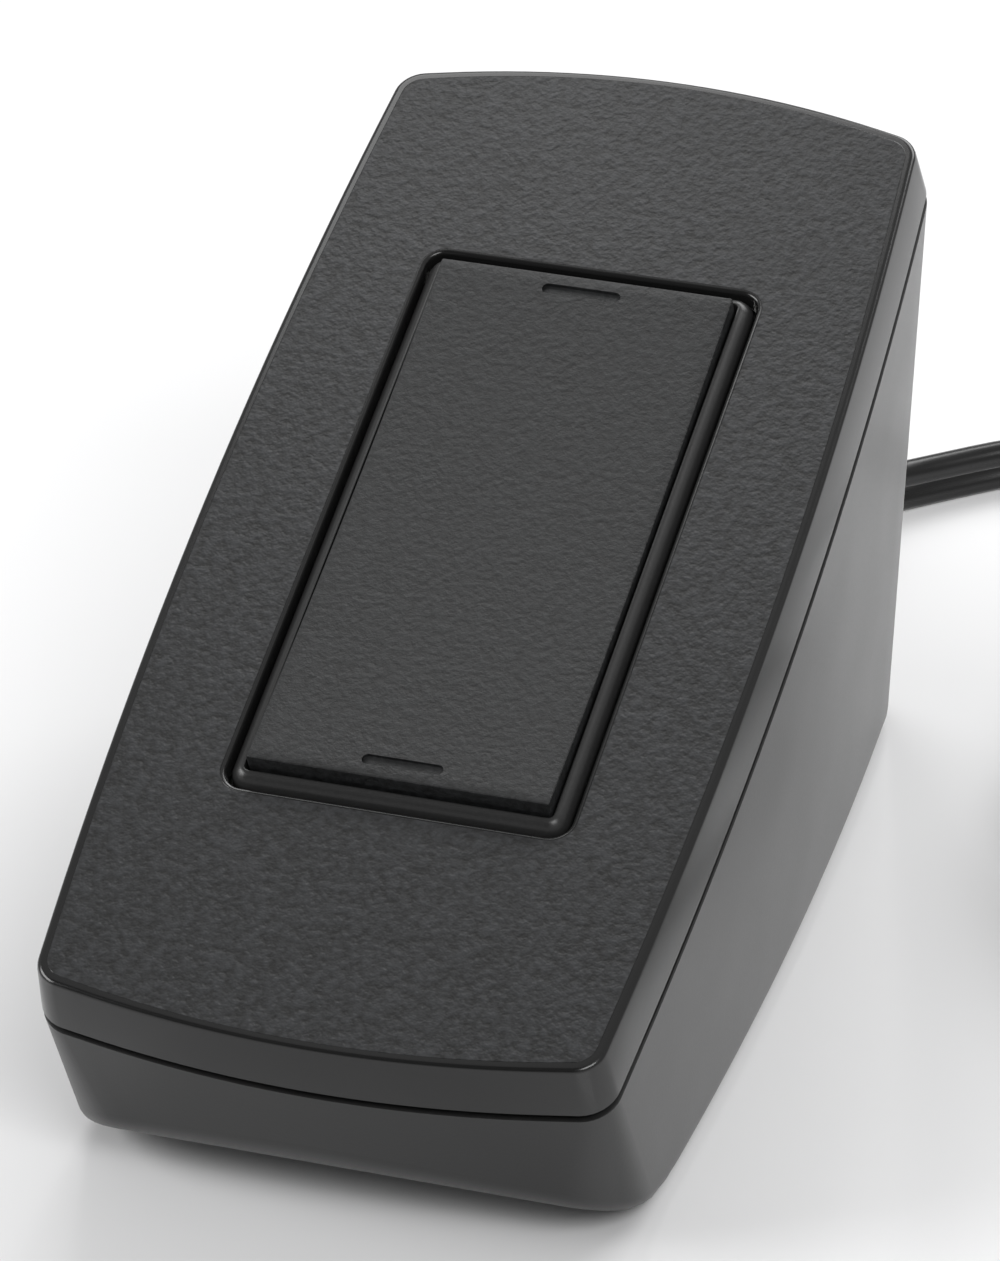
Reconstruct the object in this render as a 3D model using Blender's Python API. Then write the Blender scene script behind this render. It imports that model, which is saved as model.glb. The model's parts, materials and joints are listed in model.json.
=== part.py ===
"""Desk-top wireless lighting controller: a wedge housing with one rocker and a flat mains cord.

Units are metres, +Z is up, +Y points to the rear of the housing and +X to its right. The origin is
the middle of the housing's box on the surface that it stands on. The sloping top of the housing,
with the rocker in it, is modelled flat under an empty named deck: there u is X, v runs up the slope
and n stands square on it, and the empty's tilt puts it all in place.
"""

import math

import bmesh
import bpy
from mathutils import Matrix, Vector

MM = 0.001

# Wedge
DECK_TILT = math.radians(21.2)
DECK_Y = -1.03 * MM
DECK_Z = 45.1 * MM
GAP = 0.3 * MM

# Outline of the housing at the seam, in the plane of the deck
SEAM_N = -6.0 * MM
SEAM_GAP = 0.4 * MM
SEAM_HALF_FRONT = 27.2 * MM
SEAM_HALF_REAR = 26.8 * MM
SEAM_FRONT = -57.9 * MM
SEAM_REAR = 55.6 * MM
SIDE_BOW = 2.25 * MM
FRONT_BOW = 2.9 * MM
REAR_BOW = 3.6 * MM
SEAM_CORNER = 3.6 * MM
SIDE_DRAFT = 0.5 * MM
EDGE_ROUND = 1.0 * MM
WALL = 2.0 * MM

# Outline of the base where its walls end, level with the table
BASE_HALF_FRONT = 27.2 * MM
BASE_HALF_REAR = 23.8 * MM
BASE_FRONT = -47.6 * MM
BASE_REAR = 54.2 * MM
BASE_SIDE_BOW = 1.8 * MM
BASE_END_BOW = 1.9 * MM
BASE_CORNER = 8.5 * MM
BASE_Z = 0.5 * MM
BASE_ROUND = 1.3 * MM
BASE_WALL = 2.2 * MM
FLOOR_TOP = 3.0 * MM
TOE_START = -34.0 * MM
TOE_RADIUS = 26.0 * MM
TOE_REACH = 17.5 * MM

# Rocker opening, frame and paddle
OPENING = (33.3 * MM, 66.3 * MM)
OPENING_CORNER = 2.0 * MM
FRAME_INNER = (29.7 * MM, 62.7 * MM)
FRAME_OUTER = (32.5 * MM, 65.5 * MM)
FRAME_TOP = 0.4 * MM
FRAME_SHOULDER = -0.9 * MM
FRAME_BOTTOM = -2.9 * MM
PADDLE = (29.1 * MM, 61.8 * MM)
PADDLE_MID = 1.0 * MM
PADDLE_DISH = 0.8 * MM
PADDLE_SKIRT = -1.6 * MM
PADDLE_UNDER = -0.6 * MM
PADDLE_WALL = 1.2 * MM
PADDLE_CORNER = 0.4 * MM
MARK = (7.8 * MM, 1.2 * MM)
MARK_V = 29.0 * MM
MARK_DEEP = 0.35 * MM
PIVOT_N = -3.0 * MM
ROD_RADIUS = 1.0 * MM
ROD_HALF = 13.7 * MM
PIVOT_BORE = 1.3 * MM

# Parts behind the deck
YOKE_TOP = -3.2 * MM
YOKE_THICK = 1.1 * MM
YOKE_SCREW_V = 38.2 * MM
TRAY = (31.0 * MM, 66.0 * MM)
TRAY_TOP = -4.6 * MM
TRAY_BOTTOM = -12.5 * MM
BOARD_THICK = 1.6 * MM
CONTROL_BOARD_N = -11.2 * MM
SWITCH_V = 24.0 * MM

# Case screws: x and y on the table, and the height where the base's tube meets the cover's post
CASE_SCREWS = {
    "front_left": (-19.0 * MM, -37.5 * MM, 16.0 * MM),
    "front_right": (19.0 * MM, -37.5 * MM, 16.0 * MM),
    "rear_left": (-18.4 * MM, 37.0 * MM, 38.0 * MM),
    "rear_right": (18.4 * MM, 37.0 * MM, 38.0 * MM),
}
FEET = {
    "front_left": (-20.2 * MM, -27.5 * MM),
    "front_right": (20.2 * MM, -27.5 * MM),
    "rear_left": (-17.2 * MM, 47.5 * MM),
    "rear_right": (17.2 * MM, 47.5 * MM),
}
FOOT_RADIUS = 4.2 * MM
FOOT_HIGH = 1.1 * MM
TUBE_RADIUS = 3.6 * MM
SHANK_RADIUS = 1.4 * MM
BORE_RADIUS = 1.7 * MM
HEAD_RADIUS = 2.6 * MM
HEAD_HIGH = 2.0 * MM
HEAD_ROOM = 3.0 * MM
SEAT_DEEP = 7.0 * MM

# Power board, level in the base
POWER_BOARD = (29.0 * MM, 50.0 * MM)
POWER_BOARD_Y = 19.5 * MM
POWER_BOARD_Z = 6.0 * MM
POWER_SCREWS = [(x * MM, y * MM) for y in (-2.5, 41.5) for x in (-12.0, 12.0)]
STUD_RADIUS = 2.3 * MM

# Flat two-core mains cord
CORD_THICK = 2.7 * MM
CORD_EXIT_Z = 8.6 * MM
CORD_HOLE_RADIUS = 4.6 * MM
RELIEF_LONG = 22.0 * MM
RELIEF_FLANGE = 5.2 * MM
RELIEF_ROOT = 4.3 * MM
RELIEF_TIP = 3.4 * MM
COIL_CENTRE = (77.8 * MM, 40.0 * MM)
COIL_RADIUS = 27.3 * MM
COIL_BAND = 16.3 * MM
COIL_LOW = 0.7 * MM
COIL_HIGH = 12.0 * MM
TIE_HALF = 4.0 * MM
TIE_THICK = 0.4 * MM
TIE_TURN = math.radians(265.0)
PLUG = (99.0 * MM, -15.0 * MM, 5.0 * MM)
BLADE = (1.5 * MM, 17.5 * MM, 6.4 * MM)
BLADE_X = 6.35 * MM

# The cord's way over the table, x, y, z in millimetres: rear wall to coil, then coil to plug. It lies
# on edge, so its middle is half its width above the table.
ROUTE_OUT = [
    (0.0, 56.0, 8.6), (0.0, 60.0, 8.5), (0.4, 64.0, 8.1), (1.4, 68.5, 7.4), (2.9, 73.0, 6.5),
    (4.9, 77.5, 5.5), (7.4, 82.0, 4.5), (10.2, 86.3, 3.6), (12.6, 89.6, 3.1), (14.7, 92.0, 2.85),
    (18.5, 95.5, 2.75), (22.5, 98.8, 2.75), (27.6, 102.0, 2.75), (33.4, 103.5, 2.75),
    (40.0, 103.8, 2.75), (52.0, 102.8, 2.75), (63.6, 99.6, 2.75), (74.5, 94.6, 2.75),
    (84.4, 87.7, 2.8), (92.5, 79.6, 2.95), (98.5, 71.4, 3.15),
]
ROUTE_BACK = [
    (104.5, 14.0, 8.9), (102.8, 8.5, 8.1), (101.3, 3.0, 7.0), (100.1, -2.5, 6.0), (99.4, -8.0, 5.3),
    (99.1, -12.0, 5.05), (99.0, -14.7, 5.0),
]
TUBE_STEP = 6.5 * MM

for old in list(bpy.data.objects):
    bpy.data.objects.remove(old, do_unlink=True)


def material(name, colour, roughness, metallic=0.0):
    m = bpy.data.materials.new(name)
    m.use_nodes = True
    shader = m.node_tree.nodes["Principled BSDF"]
    shader.inputs["Base Color"].default_value = (*colour, 1.0)
    shader.inputs["Roughness"].default_value = roughness
    shader.inputs["Metallic"].default_value = metallic
    return m


TEXTURED = material("cover_plastic", (0.070, 0.071, 0.074), 0.55)
SATIN = material("base_plastic", (0.060, 0.060, 0.062), 0.34)
ROCKER = material("rocker_plastic", (0.045, 0.046, 0.050), 0.30)
INNER_PLASTIC = material("inner_plastic", (0.10, 0.10, 0.10), 0.5)
STEEL = material("zinc_steel", (0.62, 0.62, 0.60), 0.35, 1.0)
BRASS = material("plug_brass", (0.72, 0.55, 0.28), 0.28, 1.0)
RUBBER = material("foot_rubber", (0.035, 0.035, 0.036), 0.8)
BOARD = material("board_green", (0.03, 0.16, 0.07), 0.45)
CORD = material("cord_vinyl", (0.018, 0.018, 0.019), 0.38)
TIE = material("tie_black", (0.02, 0.02, 0.02), 0.6)
WINDING = material("winding_tape", (0.75, 0.62, 0.18), 0.5)
CAN = material("can_blue", (0.05, 0.08, 0.20), 0.4)
WHITE = material("wire_white", (0.80, 0.79, 0.75), 0.45)


def empty(name, location, tilt=0.0, parent=None):
    e = bpy.data.objects.new(name, None)
    e.location = location
    e.rotation_euler = (tilt, 0.0, 0.0)
    e.parent = parent
    bpy.context.scene.collection.objects.link(e)
    return e


DECK = empty("deck", (0.0, DECK_Y, DECK_Z), DECK_TILT)


def add(name, bm, look, parent=None, smooth=35.0):
    """Turn a bmesh into an object of the scene."""
    bmesh.ops.recalc_face_normals(bm, faces=bm.faces)
    mesh = bpy.data.meshes.new(name)
    bm.to_mesh(mesh)
    bm.free()
    mesh.shade_smooth()
    mesh.set_sharp_from_angle(angle=math.radians(smooth))
    obj = bpy.data.objects.new(name, mesh)
    if look is not None:
        mesh.materials.append(look)
    obj.parent = parent
    bpy.context.scene.collection.objects.link(obj)
    return obj


def boolean(obj, operation, bm, name, parent=None):
    """Cut, or add, the shape in bm. The tool object stays in the scene, out of the model."""
    tool = add(name, bm, None, parent)
    tool.hide_render = True
    tool.display_type = "WIRE"
    modifier = obj.modifiers.new(name, "BOOLEAN")
    modifier.operation = operation
    modifier.solver = "EXACT"
    modifier.object = tool
    return tool


def loft(bm, rings):
    """A closed body through rings of equally many points."""
    made = [[bm.verts.new(p) for p in ring] for ring in rings]
    count = len(made[0])
    for low, high in zip(made, made[1:]):
        for i in range(count):
            j = (i + 1) % count
            bm.faces.new((low[i], low[j], high[j], high[i]))
    bm.faces.new(list(reversed(made[0])))
    bm.faces.new(made[-1])


def box(bm, low, high):
    x0, y0, z0 = low
    x1, y1, z1 = high
    plan = [(x0, y0), (x1, y0), (x1, y1), (x0, y1)]
    loft(bm, [[(x, y, z0) for x, y in plan], [(x, y, z1) for x, y in plan]])


def circle(radius, sides, x=0.0, y=0.0):
    turn = 2.0 * math.pi / sides
    return [(x + radius * math.cos(i * turn), y + radius * math.sin(i * turn)) for i in range(sides)]


def turned(bm, profile, sides, x=0.0, y=0.0):
    """A round body on a vertical axis, from (radius, height) pairs, bottom to top."""
    loft(bm, [[(px, py, z) for px, py in circle(r, sides, x, y)] for r, z in profile])


def rounded_rectangle(width, length, radius, steps=4):
    points = []
    for cx, cy, start in ((1, 1, 0.0), (-1, 1, 90.0), (-1, -1, 180.0), (1, -1, 270.0)):
        for i in range(steps + 1):
            angle = math.radians(start + 90.0 * i / steps)
            x = cx * (width / 2 - radius) + radius * math.cos(angle)
            y = cy * (length / 2 - radius) + radius * math.sin(angle)
            points.append((x, y))
    return points


def rectangle_prism(bm, size, radius, low, high, steps=4):
    plan = rounded_rectangle(size[0], size[1], radius, steps)
    loft(bm, [[(x, y, low) for x, y in plan], [(x, y, high) for x, y in plan]])


def bowed_outline(half_front, half_rear, front, rear, side_bow, front_bow, rear_bow, corner, inset=0.0):
    """A four-sided outline whose sides bow outwards, with rounded corners, anticlockwise."""
    half_front, half_rear = half_front - inset, half_rear - inset
    front, rear = front + inset, rear - inset
    corner = max(corner - inset, 0.4 * MM)
    corners = [
        Vector((half_front, front)), Vector((half_rear, rear)),
        Vector((-half_rear, rear)), Vector((-half_front, front)),
    ]
    bows = [side_bow, rear_bow, side_bow, front_bow]
    side_steps, corner_steps = 8, 4

    def on_side(k, t):
        start, end = corners[k], corners[(k + 1) % 4]
        along = end - start
        outward = Vector((along.y, -along.x)).normalized()
        return start + along * t + outward * (4.0 * bows[k] * t * (1.0 - t))

    def heading(k, sign):
        along = corners[(k + 1) % 4] - corners[k]
        outward = Vector((along.y, -along.x)).normalized()
        return (along + outward * (4.0 * bows[k] * sign)).normalized()

    points = []
    for k in range(4):
        came, goes = heading((k + 3) % 4, -1.0), heading(k, 1.0)
        turn = came.angle(goes)
        reach = corner * math.tan(turn / 2)
        centre = corners[k] - came * reach + Vector((-came.y, came.x)) * corner
        first = math.atan2(-came.x, came.y)
        for i in range(corner_steps + 1):
            angle = first + turn * i / corner_steps
            points.append(centre + corner * Vector((math.cos(angle), math.sin(angle))))
        length = (corners[(k + 1) % 4] - corners[k]).length
        for i in range(1, side_steps):
            t = reach / length + (1.0 - 2.0 * reach / length) * i / side_steps
            points.append(on_side(k, t))
    return [(p.x, p.y) for p in points]


def seam_outline(inset=0.0):
    return bowed_outline(
        SEAM_HALF_FRONT, SEAM_HALF_REAR, SEAM_FRONT, SEAM_REAR,
        SIDE_BOW, FRONT_BOW, REAR_BOW, SEAM_CORNER, inset,
    )


def base_outline(inset=0.0, front_back=0.0):
    return bowed_outline(
        BASE_HALF_FRONT, BASE_HALF_REAR, BASE_FRONT + front_back, BASE_REAR,
        BASE_SIDE_BOW, BASE_END_BOW, BASE_END_BOW, BASE_CORNER, inset,
    )


def on_deck(u, v, n):
    """A deck point in the scene's frame."""
    c, s = math.cos(DECK_TILT), math.sin(DECK_TILT)
    return (u, DECK_Y + v * c - n * s, DECK_Z + v * s + n * c)


def deck_under(y):
    """Height of the deck's underside at a place along the housing."""
    return DECK_Z + (y - DECK_Y) * math.tan(DECK_TILT) - WALL / math.cos(DECK_TILT)


def make_top_cover():
    bm = bmesh.new()
    rings = [[(u, v, SEAM_N) for u, v in seam_outline()]]
    for angle in (0.0, 30.0, 60.0, 90.0):
        a = math.radians(angle)
        inset = SIDE_DRAFT + EDGE_ROUND * (1.0 - math.cos(a))
        rings.append([(u, v, EDGE_ROUND * (math.sin(a) - 1.0)) for u, v in seam_outline(inset)])
    loft(bm, rings)
    cover = add("top_cover", bm, TEXTURED, DECK)

    bm = bmesh.new()
    inner = seam_outline(WALL)
    loft(bm, [[(u, v, SEAM_N - MM) for u, v in inner], [(u, v, -WALL) for u, v in inner]])
    boolean(cover, "DIFFERENCE", bm, "tool_cover_inside", DECK)

    bm = bmesh.new()
    for x, y, top in CASE_SCREWS.values():
        turned(bm, [(TUBE_RADIUS, top + GAP), (TUBE_RADIUS, deck_under(y) + 0.8 * MM)], 20, x, y)
    boolean(cover, "UNION", bm, "tool_cover_posts")

    bm = bmesh.new()
    for v in (-YOKE_SCREW_V, YOKE_SCREW_V):
        turned(bm, [(HEAD_ROOM, YOKE_TOP + GAP), (HEAD_ROOM, -WALL + 0.5 * MM)], 16, 0.0, v)
    boolean(cover, "UNION", bm, "tool_yoke_bosses", DECK)

    bm = bmesh.new()
    rectangle_prism(bm, OPENING, OPENING_CORNER, -3.0 * MM, 3.0 * MM)
    for v in (-YOKE_SCREW_V, YOKE_SCREW_V):
        turned(bm, [(1.3 * MM, YOKE_TOP - MM), (1.3 * MM, -0.8 * MM)], 12, 0.0, v)
    boolean(cover, "DIFFERENCE", bm, "tool_cover_openings", DECK)

    bm = bmesh.new()
    for x, y, top in CASE_SCREWS.values():
        turned(bm, [(BORE_RADIUS, top - MM), (BORE_RADIUS, top + 8.0 * MM)], 12, x, y)
    boolean(cover, "DIFFERENCE", bm, "tool_post_bores")
    return cover


def make_base_housing():
    bm = bmesh.new()
    rings = []
    for angle in (90.0, 60.0, 30.0, 0.0):
        a = math.radians(angle)
        inset = BASE_ROUND * (1.0 - math.cos(a))
        height = BASE_Z + BASE_ROUND * (1.0 - math.sin(a))
        rings.append([(x, y, height) for x, y in base_outline(inset)])
    rings.append([on_deck(u, v, SEAM_N - SEAM_GAP) for u, v in seam_outline()])
    loft(bm, rings)
    base = add("base_housing", bm, SATIN)

    bm = bmesh.new()
    floor = [(x, y, FLOOR_TOP) for x, y in base_outline(BASE_WALL, 9.0 * MM)]
    brim = [on_deck(u, v, SEAM_N - SEAM_GAP + MM) for u, v in seam_outline(BASE_WALL)]
    loft(bm, [floor, brim])
    boolean(base, "DIFFERENCE", bm, "tool_base_inside")

    bm = bmesh.new()
    for x, y, top in CASE_SCREWS.values():
        turned(bm, [(TUBE_RADIUS, FLOOR_TOP - MM), (TUBE_RADIUS, top)], 20, x, y)
    for x, y in POWER_SCREWS:
        turned(bm, [(STUD_RADIUS, FLOOR_TOP - 0.5 * MM), (STUD_RADIUS, POWER_BOARD_Z - GAP)], 12, x, y)
    boolean(base, "UNION", bm, "tool_base_tubes")

    bm = bmesh.new()
    profile = [(TOE_START, BASE_Z - 3.0 * MM), (TOE_START, BASE_Z)]
    for i in range(1, 7):
        back = TOE_REACH * i / 6
        rise = TOE_RADIUS - math.sqrt(TOE_RADIUS**2 - back**2)
        profile.append((TOE_START - back, BASE_Z + rise))
    profile.append((TOE_START - TOE_REACH, BASE_Z - 3.0 * MM))
    loft(bm, [[(x, y, z) for y, z in profile] for x in (-40.0 * MM, 40.0 * MM)])
    boolean(base, "DIFFERENCE", bm, "tool_toe")

    bm = bmesh.new()
    for x, y, top in CASE_SCREWS.values():
        seat = top - SEAT_DEEP
        profile = [(HEAD_ROOM, -MM), (HEAD_ROOM, seat), (BORE_RADIUS, seat), (BORE_RADIUS, top + MM)]
        turned(bm, profile, 16, x, y)
    for x, y in FEET.values():
        turned(bm, [(FOOT_RADIUS + GAP, -MM), (FOOT_RADIUS + GAP, FOOT_HIGH + GAP)], 20, x, y)
    for x, y in POWER_SCREWS:
        turned(bm, [(1.0 * MM, FLOOR_TOP - 0.8 * MM), (1.0 * MM, POWER_BOARD_Z + MM)], 10, x, y)
    boolean(base, "DIFFERENCE", bm, "tool_base_bores")

    bm = bmesh.new()
    turned(bm, [(CORD_HOLE_RADIUS, 46.0 * MM), (CORD_HOLE_RADIUS, 62.0 * MM)], 20)
    bmesh.ops.rotate(bm, verts=bm.verts, matrix=Matrix.Rotation(-math.pi / 2, 3, "X"))
    bmesh.ops.translate(bm, verts=bm.verts, vec=(0.0, 0.0, CORD_EXIT_Z))
    boolean(base, "DIFFERENCE", bm, "tool_cord_hole")
    return base


def make_foot(name, place):
    bm = bmesh.new()
    profile = [(FOOT_RADIUS - 0.5 * MM, 0.0), (FOOT_RADIUS, 0.4 * MM), (FOOT_RADIUS, FOOT_HIGH)]
    turned(bm, profile, 20, *place)
    return add("foot_" + name, bm, RUBBER)


def screw(name, head_radius, head_high, shank_radius, shank_long, parent, place, up=True):
    """A pan-head screw on its own Z, head seat at the object's origin, shank towards +Z."""
    bm = bmesh.new()
    profile = [
        (head_radius * 0.72, -head_high),
        (head_radius, -head_high * 0.55),
        (head_radius, 0.0),
        (shank_radius, 0.0),
        (shank_radius, shank_long - shank_radius),
        (shank_radius * 0.3, shank_long),
    ]
    turned(bm, profile, 12)
    obj = add(name, bm, STEEL, parent)
    obj.location = place
    if not up:
        obj.rotation_euler = (math.pi, 0.0, 0.0)
    bm = bmesh.new()
    turned(bm, [(head_radius * 0.45, -head_high - MM), (head_radius * 0.45, -head_high * 0.4)], 6)
    tool = boolean(obj, "DIFFERENCE", bm, "tool_" + name, parent)
    tool.location = obj.location
    tool.rotation_euler = obj.rotation_euler
    return obj


def make_rocker_frame():
    bm = bmesh.new()
    inner = rounded_rectangle(*FRAME_INNER, 0.8 * MM, 3)
    lip = rounded_rectangle(FRAME_INNER[0] + 0.3 * MM, FRAME_INNER[1] + 0.3 * MM, 0.9 * MM, 3)
    outer = rounded_rectangle(*FRAME_OUTER, 1.8 * MM, 3)
    levels = [
        [(u, v, FRAME_BOTTOM) for u, v in inner], [(u, v, FRAME_TOP) for u, v in inner],
        [(u, v, FRAME_TOP) for u, v in lip], [(u, v, FRAME_SHOULDER) for u, v in outer],
        [(u, v, FRAME_BOTTOM) for u, v in outer],
    ]
    rings = [[bm.verts.new(p) for p in level] for level in levels]
    count = len(rings[0])
    for k in range(len(rings)):
        low, high = rings[k], rings[(k + 1) % len(rings)]
        for i in range(count):
            j = (i + 1) % count
            bm.faces.new((low[i], low[j], high[j], high[i]))
    return add("rocker_frame", bm, ROCKER, DECK)


def make_paddle(pivot):
    """The paddle, in the pivot's frame: its origin is on the rocker's axis."""
    bm = bmesh.new()
    steps = 12
    half_u, half_v = PADDLE[0] / 2, PADDLE[1] / 2
    sides = []
    for u in (-half_u, half_u):
        points = [(u, half_v, PADDLE_SKIRT), (u, -half_v, PADDLE_SKIRT)]
        for i in range(steps + 1):
            share = -1.0 + 2.0 * i / steps
            points.append((u, share * half_v, PADDLE_MID + PADDLE_DISH * share**2))
        sides.append(points)
    loft(bm, sides)
    upright = [
        e for e in bm.edges
        if all(abs(abs(vert.co.y) - half_v) < 0.01 * MM for vert in e.verts)
        and e.verts[0].co.y * e.verts[1].co.y > 0.0
        and e.verts[0].co.x == e.verts[1].co.x
    ]
    bmesh.ops.bevel(bm, geom=upright, offset=PADDLE_CORNER, segments=2, affect="EDGES")
    bmesh.ops.translate(bm, verts=bm.verts, vec=(0.0, 0.0, -PIVOT_N))
    paddle = add("rocker_paddle", bm, ROCKER, pivot)

    bm = bmesh.new()
    inside = (PADDLE[0] - 2 * PADDLE_WALL, PADDLE[1] - 2 * PADDLE_WALL)
    rectangle_prism(bm, inside, 0.6 * MM, PADDLE_SKIRT - PIVOT_N - MM, PADDLE_UNDER - PIVOT_N, 2)
    boolean(paddle, "DIFFERENCE", bm, "tool_paddle_inside", pivot)

    bm = bmesh.new()
    for side in (-1, 1):
        u0, u1 = sorted((side * 9.4 * MM, side * 11.6 * MM))
        box(bm, (u0, -3.2 * MM, -2.6 * MM), (u1, 3.2 * MM, PADDLE_UNDER - PIVOT_N + 0.5 * MM))
    boolean(paddle, "UNION", bm, "tool_paddle_lugs", pivot)

    bm = bmesh.new()
    turned(bm, [(PIVOT_BORE, -20.0 * MM), (PIVOT_BORE, 20.0 * MM)], 14)
    bmesh.ops.rotate(bm, verts=bm.verts, matrix=Matrix.Rotation(math.pi / 2, 3, "Y"))
    boolean(paddle, "DIFFERENCE", bm, "tool_paddle_bore", pivot)

    bm = bmesh.new()
    surface = PADDLE_MID + PADDLE_DISH * (MARK_V / half_v) ** 2 - PIVOT_N
    plan = rounded_rectangle(MARK[0], MARK[1], MARK[1] / 2 - 0.01 * MM, 3)
    for v in (-MARK_V, MARK_V):
        loft(bm, [[(a, b + v, surface + h) for a, b in plan] for h in (-MARK_DEEP, 2 * MM)])
    boolean(paddle, "DIFFERENCE", bm, "tool_paddle_marks", pivot)
    return paddle


def make_pivot_rod():
    bm = bmesh.new()
    turned(bm, [(ROD_RADIUS, -ROD_HALF), (ROD_RADIUS, ROD_HALF)], 14)
    bmesh.ops.rotate(bm, verts=bm.verts, matrix=Matrix.Rotation(math.pi / 2, 3, "Y"))
    rod = add("pivot_rod", bm, STEEL, DECK)
    rod.location = (0.0, 0.0, PIVOT_N)
    return rod


def make_yoke():
    bm = bmesh.new()
    low, high = YOKE_TOP - YOKE_THICK, YOKE_TOP
    rectangle_prism(bm, (39.0 * MM, 68.0 * MM), 2.0 * MM, low, high, 3)
    yoke = add("device_yoke", bm, STEEL, DECK)
    bm = bmesh.new()
    for side in (-1, 1):
        v0, v1 = sorted((side * 33.0 * MM, side * 42.5 * MM))
        box(bm, (-8.0 * MM, v0, low), (8.0 * MM, v1, high))
    boolean(yoke, "UNION", bm, "tool_yoke_tabs", DECK)
    bm = bmesh.new()
    rectangle_prism(bm, (30.0 * MM, 63.2 * MM), 1.0 * MM, low - MM, high + MM, 2)
    for v in (-YOKE_SCREW_V, YOKE_SCREW_V):
        turned(bm, [(1.3 * MM, low - MM), (1.3 * MM, high + MM)], 12, 0.0, v)
    boolean(yoke, "DIFFERENCE", bm, "tool_yoke_openings", DECK)
    return yoke


def make_tray():
    """Box behind the yoke that holds the control board and the ears of the rocker's axis."""
    bm = bmesh.new()
    rectangle_prism(bm, TRAY, 1.5 * MM, TRAY_BOTTOM, TRAY_TOP, 2)
    tray = add("device_tray", bm, INNER_PLASTIC, DECK)
    bm = bmesh.new()
    inside = (TRAY[0] - 2.4 * MM, TRAY[1] - 2.4 * MM)
    rectangle_prism(bm, inside, 0.8 * MM, TRAY_BOTTOM + MM, TRAY_TOP + MM, 2)
    boolean(tray, "DIFFERENCE", bm, "tool_tray_inside", DECK)
    bm = bmesh.new()
    for side in (-1, 1):
        ear = [(12.0, -8.6), (14.6, -8.6), (14.6, -2.3), (13.0, -2.3), (13.0, -1.1), (12.0, -1.1)]
        loft(bm, [[(side * u * MM, v, n * MM) for u, n in ear] for v in (-3.0 * MM, 3.0 * MM)])
    boolean(tray, "UNION", bm, "tool_tray_ears", DECK)
    bm = bmesh.new()
    turned(bm, [(PIVOT_BORE, -14.0 * MM), (PIVOT_BORE, 14.0 * MM)], 14)
    bmesh.ops.rotate(bm, verts=bm.verts, matrix=Matrix.Rotation(math.pi / 2, 3, "Y"))
    bmesh.ops.translate(bm, verts=bm.verts, vec=(0.0, 0.0, PIVOT_N))
    box(bm, (-5.0 * MM, 27.5 * MM, TRAY_BOTTOM - MM), (5.0 * MM, 31.0 * MM, TRAY_BOTTOM + 2 * MM))
    boolean(tray, "DIFFERENCE", bm, "tool_tray_cuts", DECK)
    return tray


def make_control_parts():
    top = CONTROL_BOARD_N + BOARD_THICK
    bm = bmesh.new()
    box(bm, (-13.7 * MM, -31.0 * MM, CONTROL_BOARD_N), (13.7 * MM, 27.0 * MM, top))
    add("control_board", bm, BOARD, DECK)
    bm = bmesh.new()
    box(bm, (-6.0 * MM, -9.0 * MM, top + GAP), (6.0 * MM, 9.0 * MM, top + 2.3 * MM))
    add("radio_module", bm, STEEL, DECK)
    bm = bmesh.new()
    turned(bm, [(0.5 * MM, 0.0), (0.5 * MM, 22.0 * MM)], 8)
    bmesh.ops.rotate(bm, verts=bm.verts, matrix=Matrix.Rotation(math.pi / 2, 3, "X"))
    antenna = add("radio_antenna", bm, WHITE, DECK)
    antenna.location = (9.0 * MM, 9.0 * MM, top + 1.5 * MM)
    for end, v in (("upper", SWITCH_V), ("lower", -SWITCH_V)):
        low = top + GAP
        bm = bmesh.new()
        box(bm, (-3.6 * MM, v - 3.6 * MM, low), (3.6 * MM, v + 3.6 * MM, low + 3.4 * MM))
        body = add("switch_body_" + end, bm, INNER_PLASTIC, DECK)
        bm = bmesh.new()
        turned(bm, [(2.2 * MM, low + 0.5 * MM), (2.2 * MM, low + 4.0 * MM)], 14, 0.0, v)
        boolean(body, "DIFFERENCE", bm, "tool_switch_" + end, DECK)
        bm = bmesh.new()
        bottom = low + 2.1 * MM
        crown = PADDLE_UNDER - GAP
        turned(bm, [(1.8 * MM, bottom), (1.8 * MM, crown - 0.4 * MM), (1.2 * MM, crown)], 14)
        plunger = add("switch_plunger_" + end, bm, WHITE, DECK)
        plunger.location = (0.0, v, 0.0)


def tube(name, points, radius, look, sides=2, radii=None):
    """A round lead along a line of points, with closed ends."""
    curve = bpy.data.curves.new(name, "CURVE")
    curve.dimensions = "3D"
    curve.bevel_depth = radius
    curve.bevel_resolution = sides
    curve.use_fill_caps = True
    spline = curve.splines.new("POLY")
    spline.points.add(len(points) - 1)
    for i, p in enumerate(points):
        spline.points[i].co = (*p, 1.0)
        spline.points[i].radius = 1.0 if radii is None else radii[i]
    curve.materials.append(look)
    obj = bpy.data.objects.new(name, curve)
    bpy.context.scene.collection.objects.link(obj)
    return obj


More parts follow.
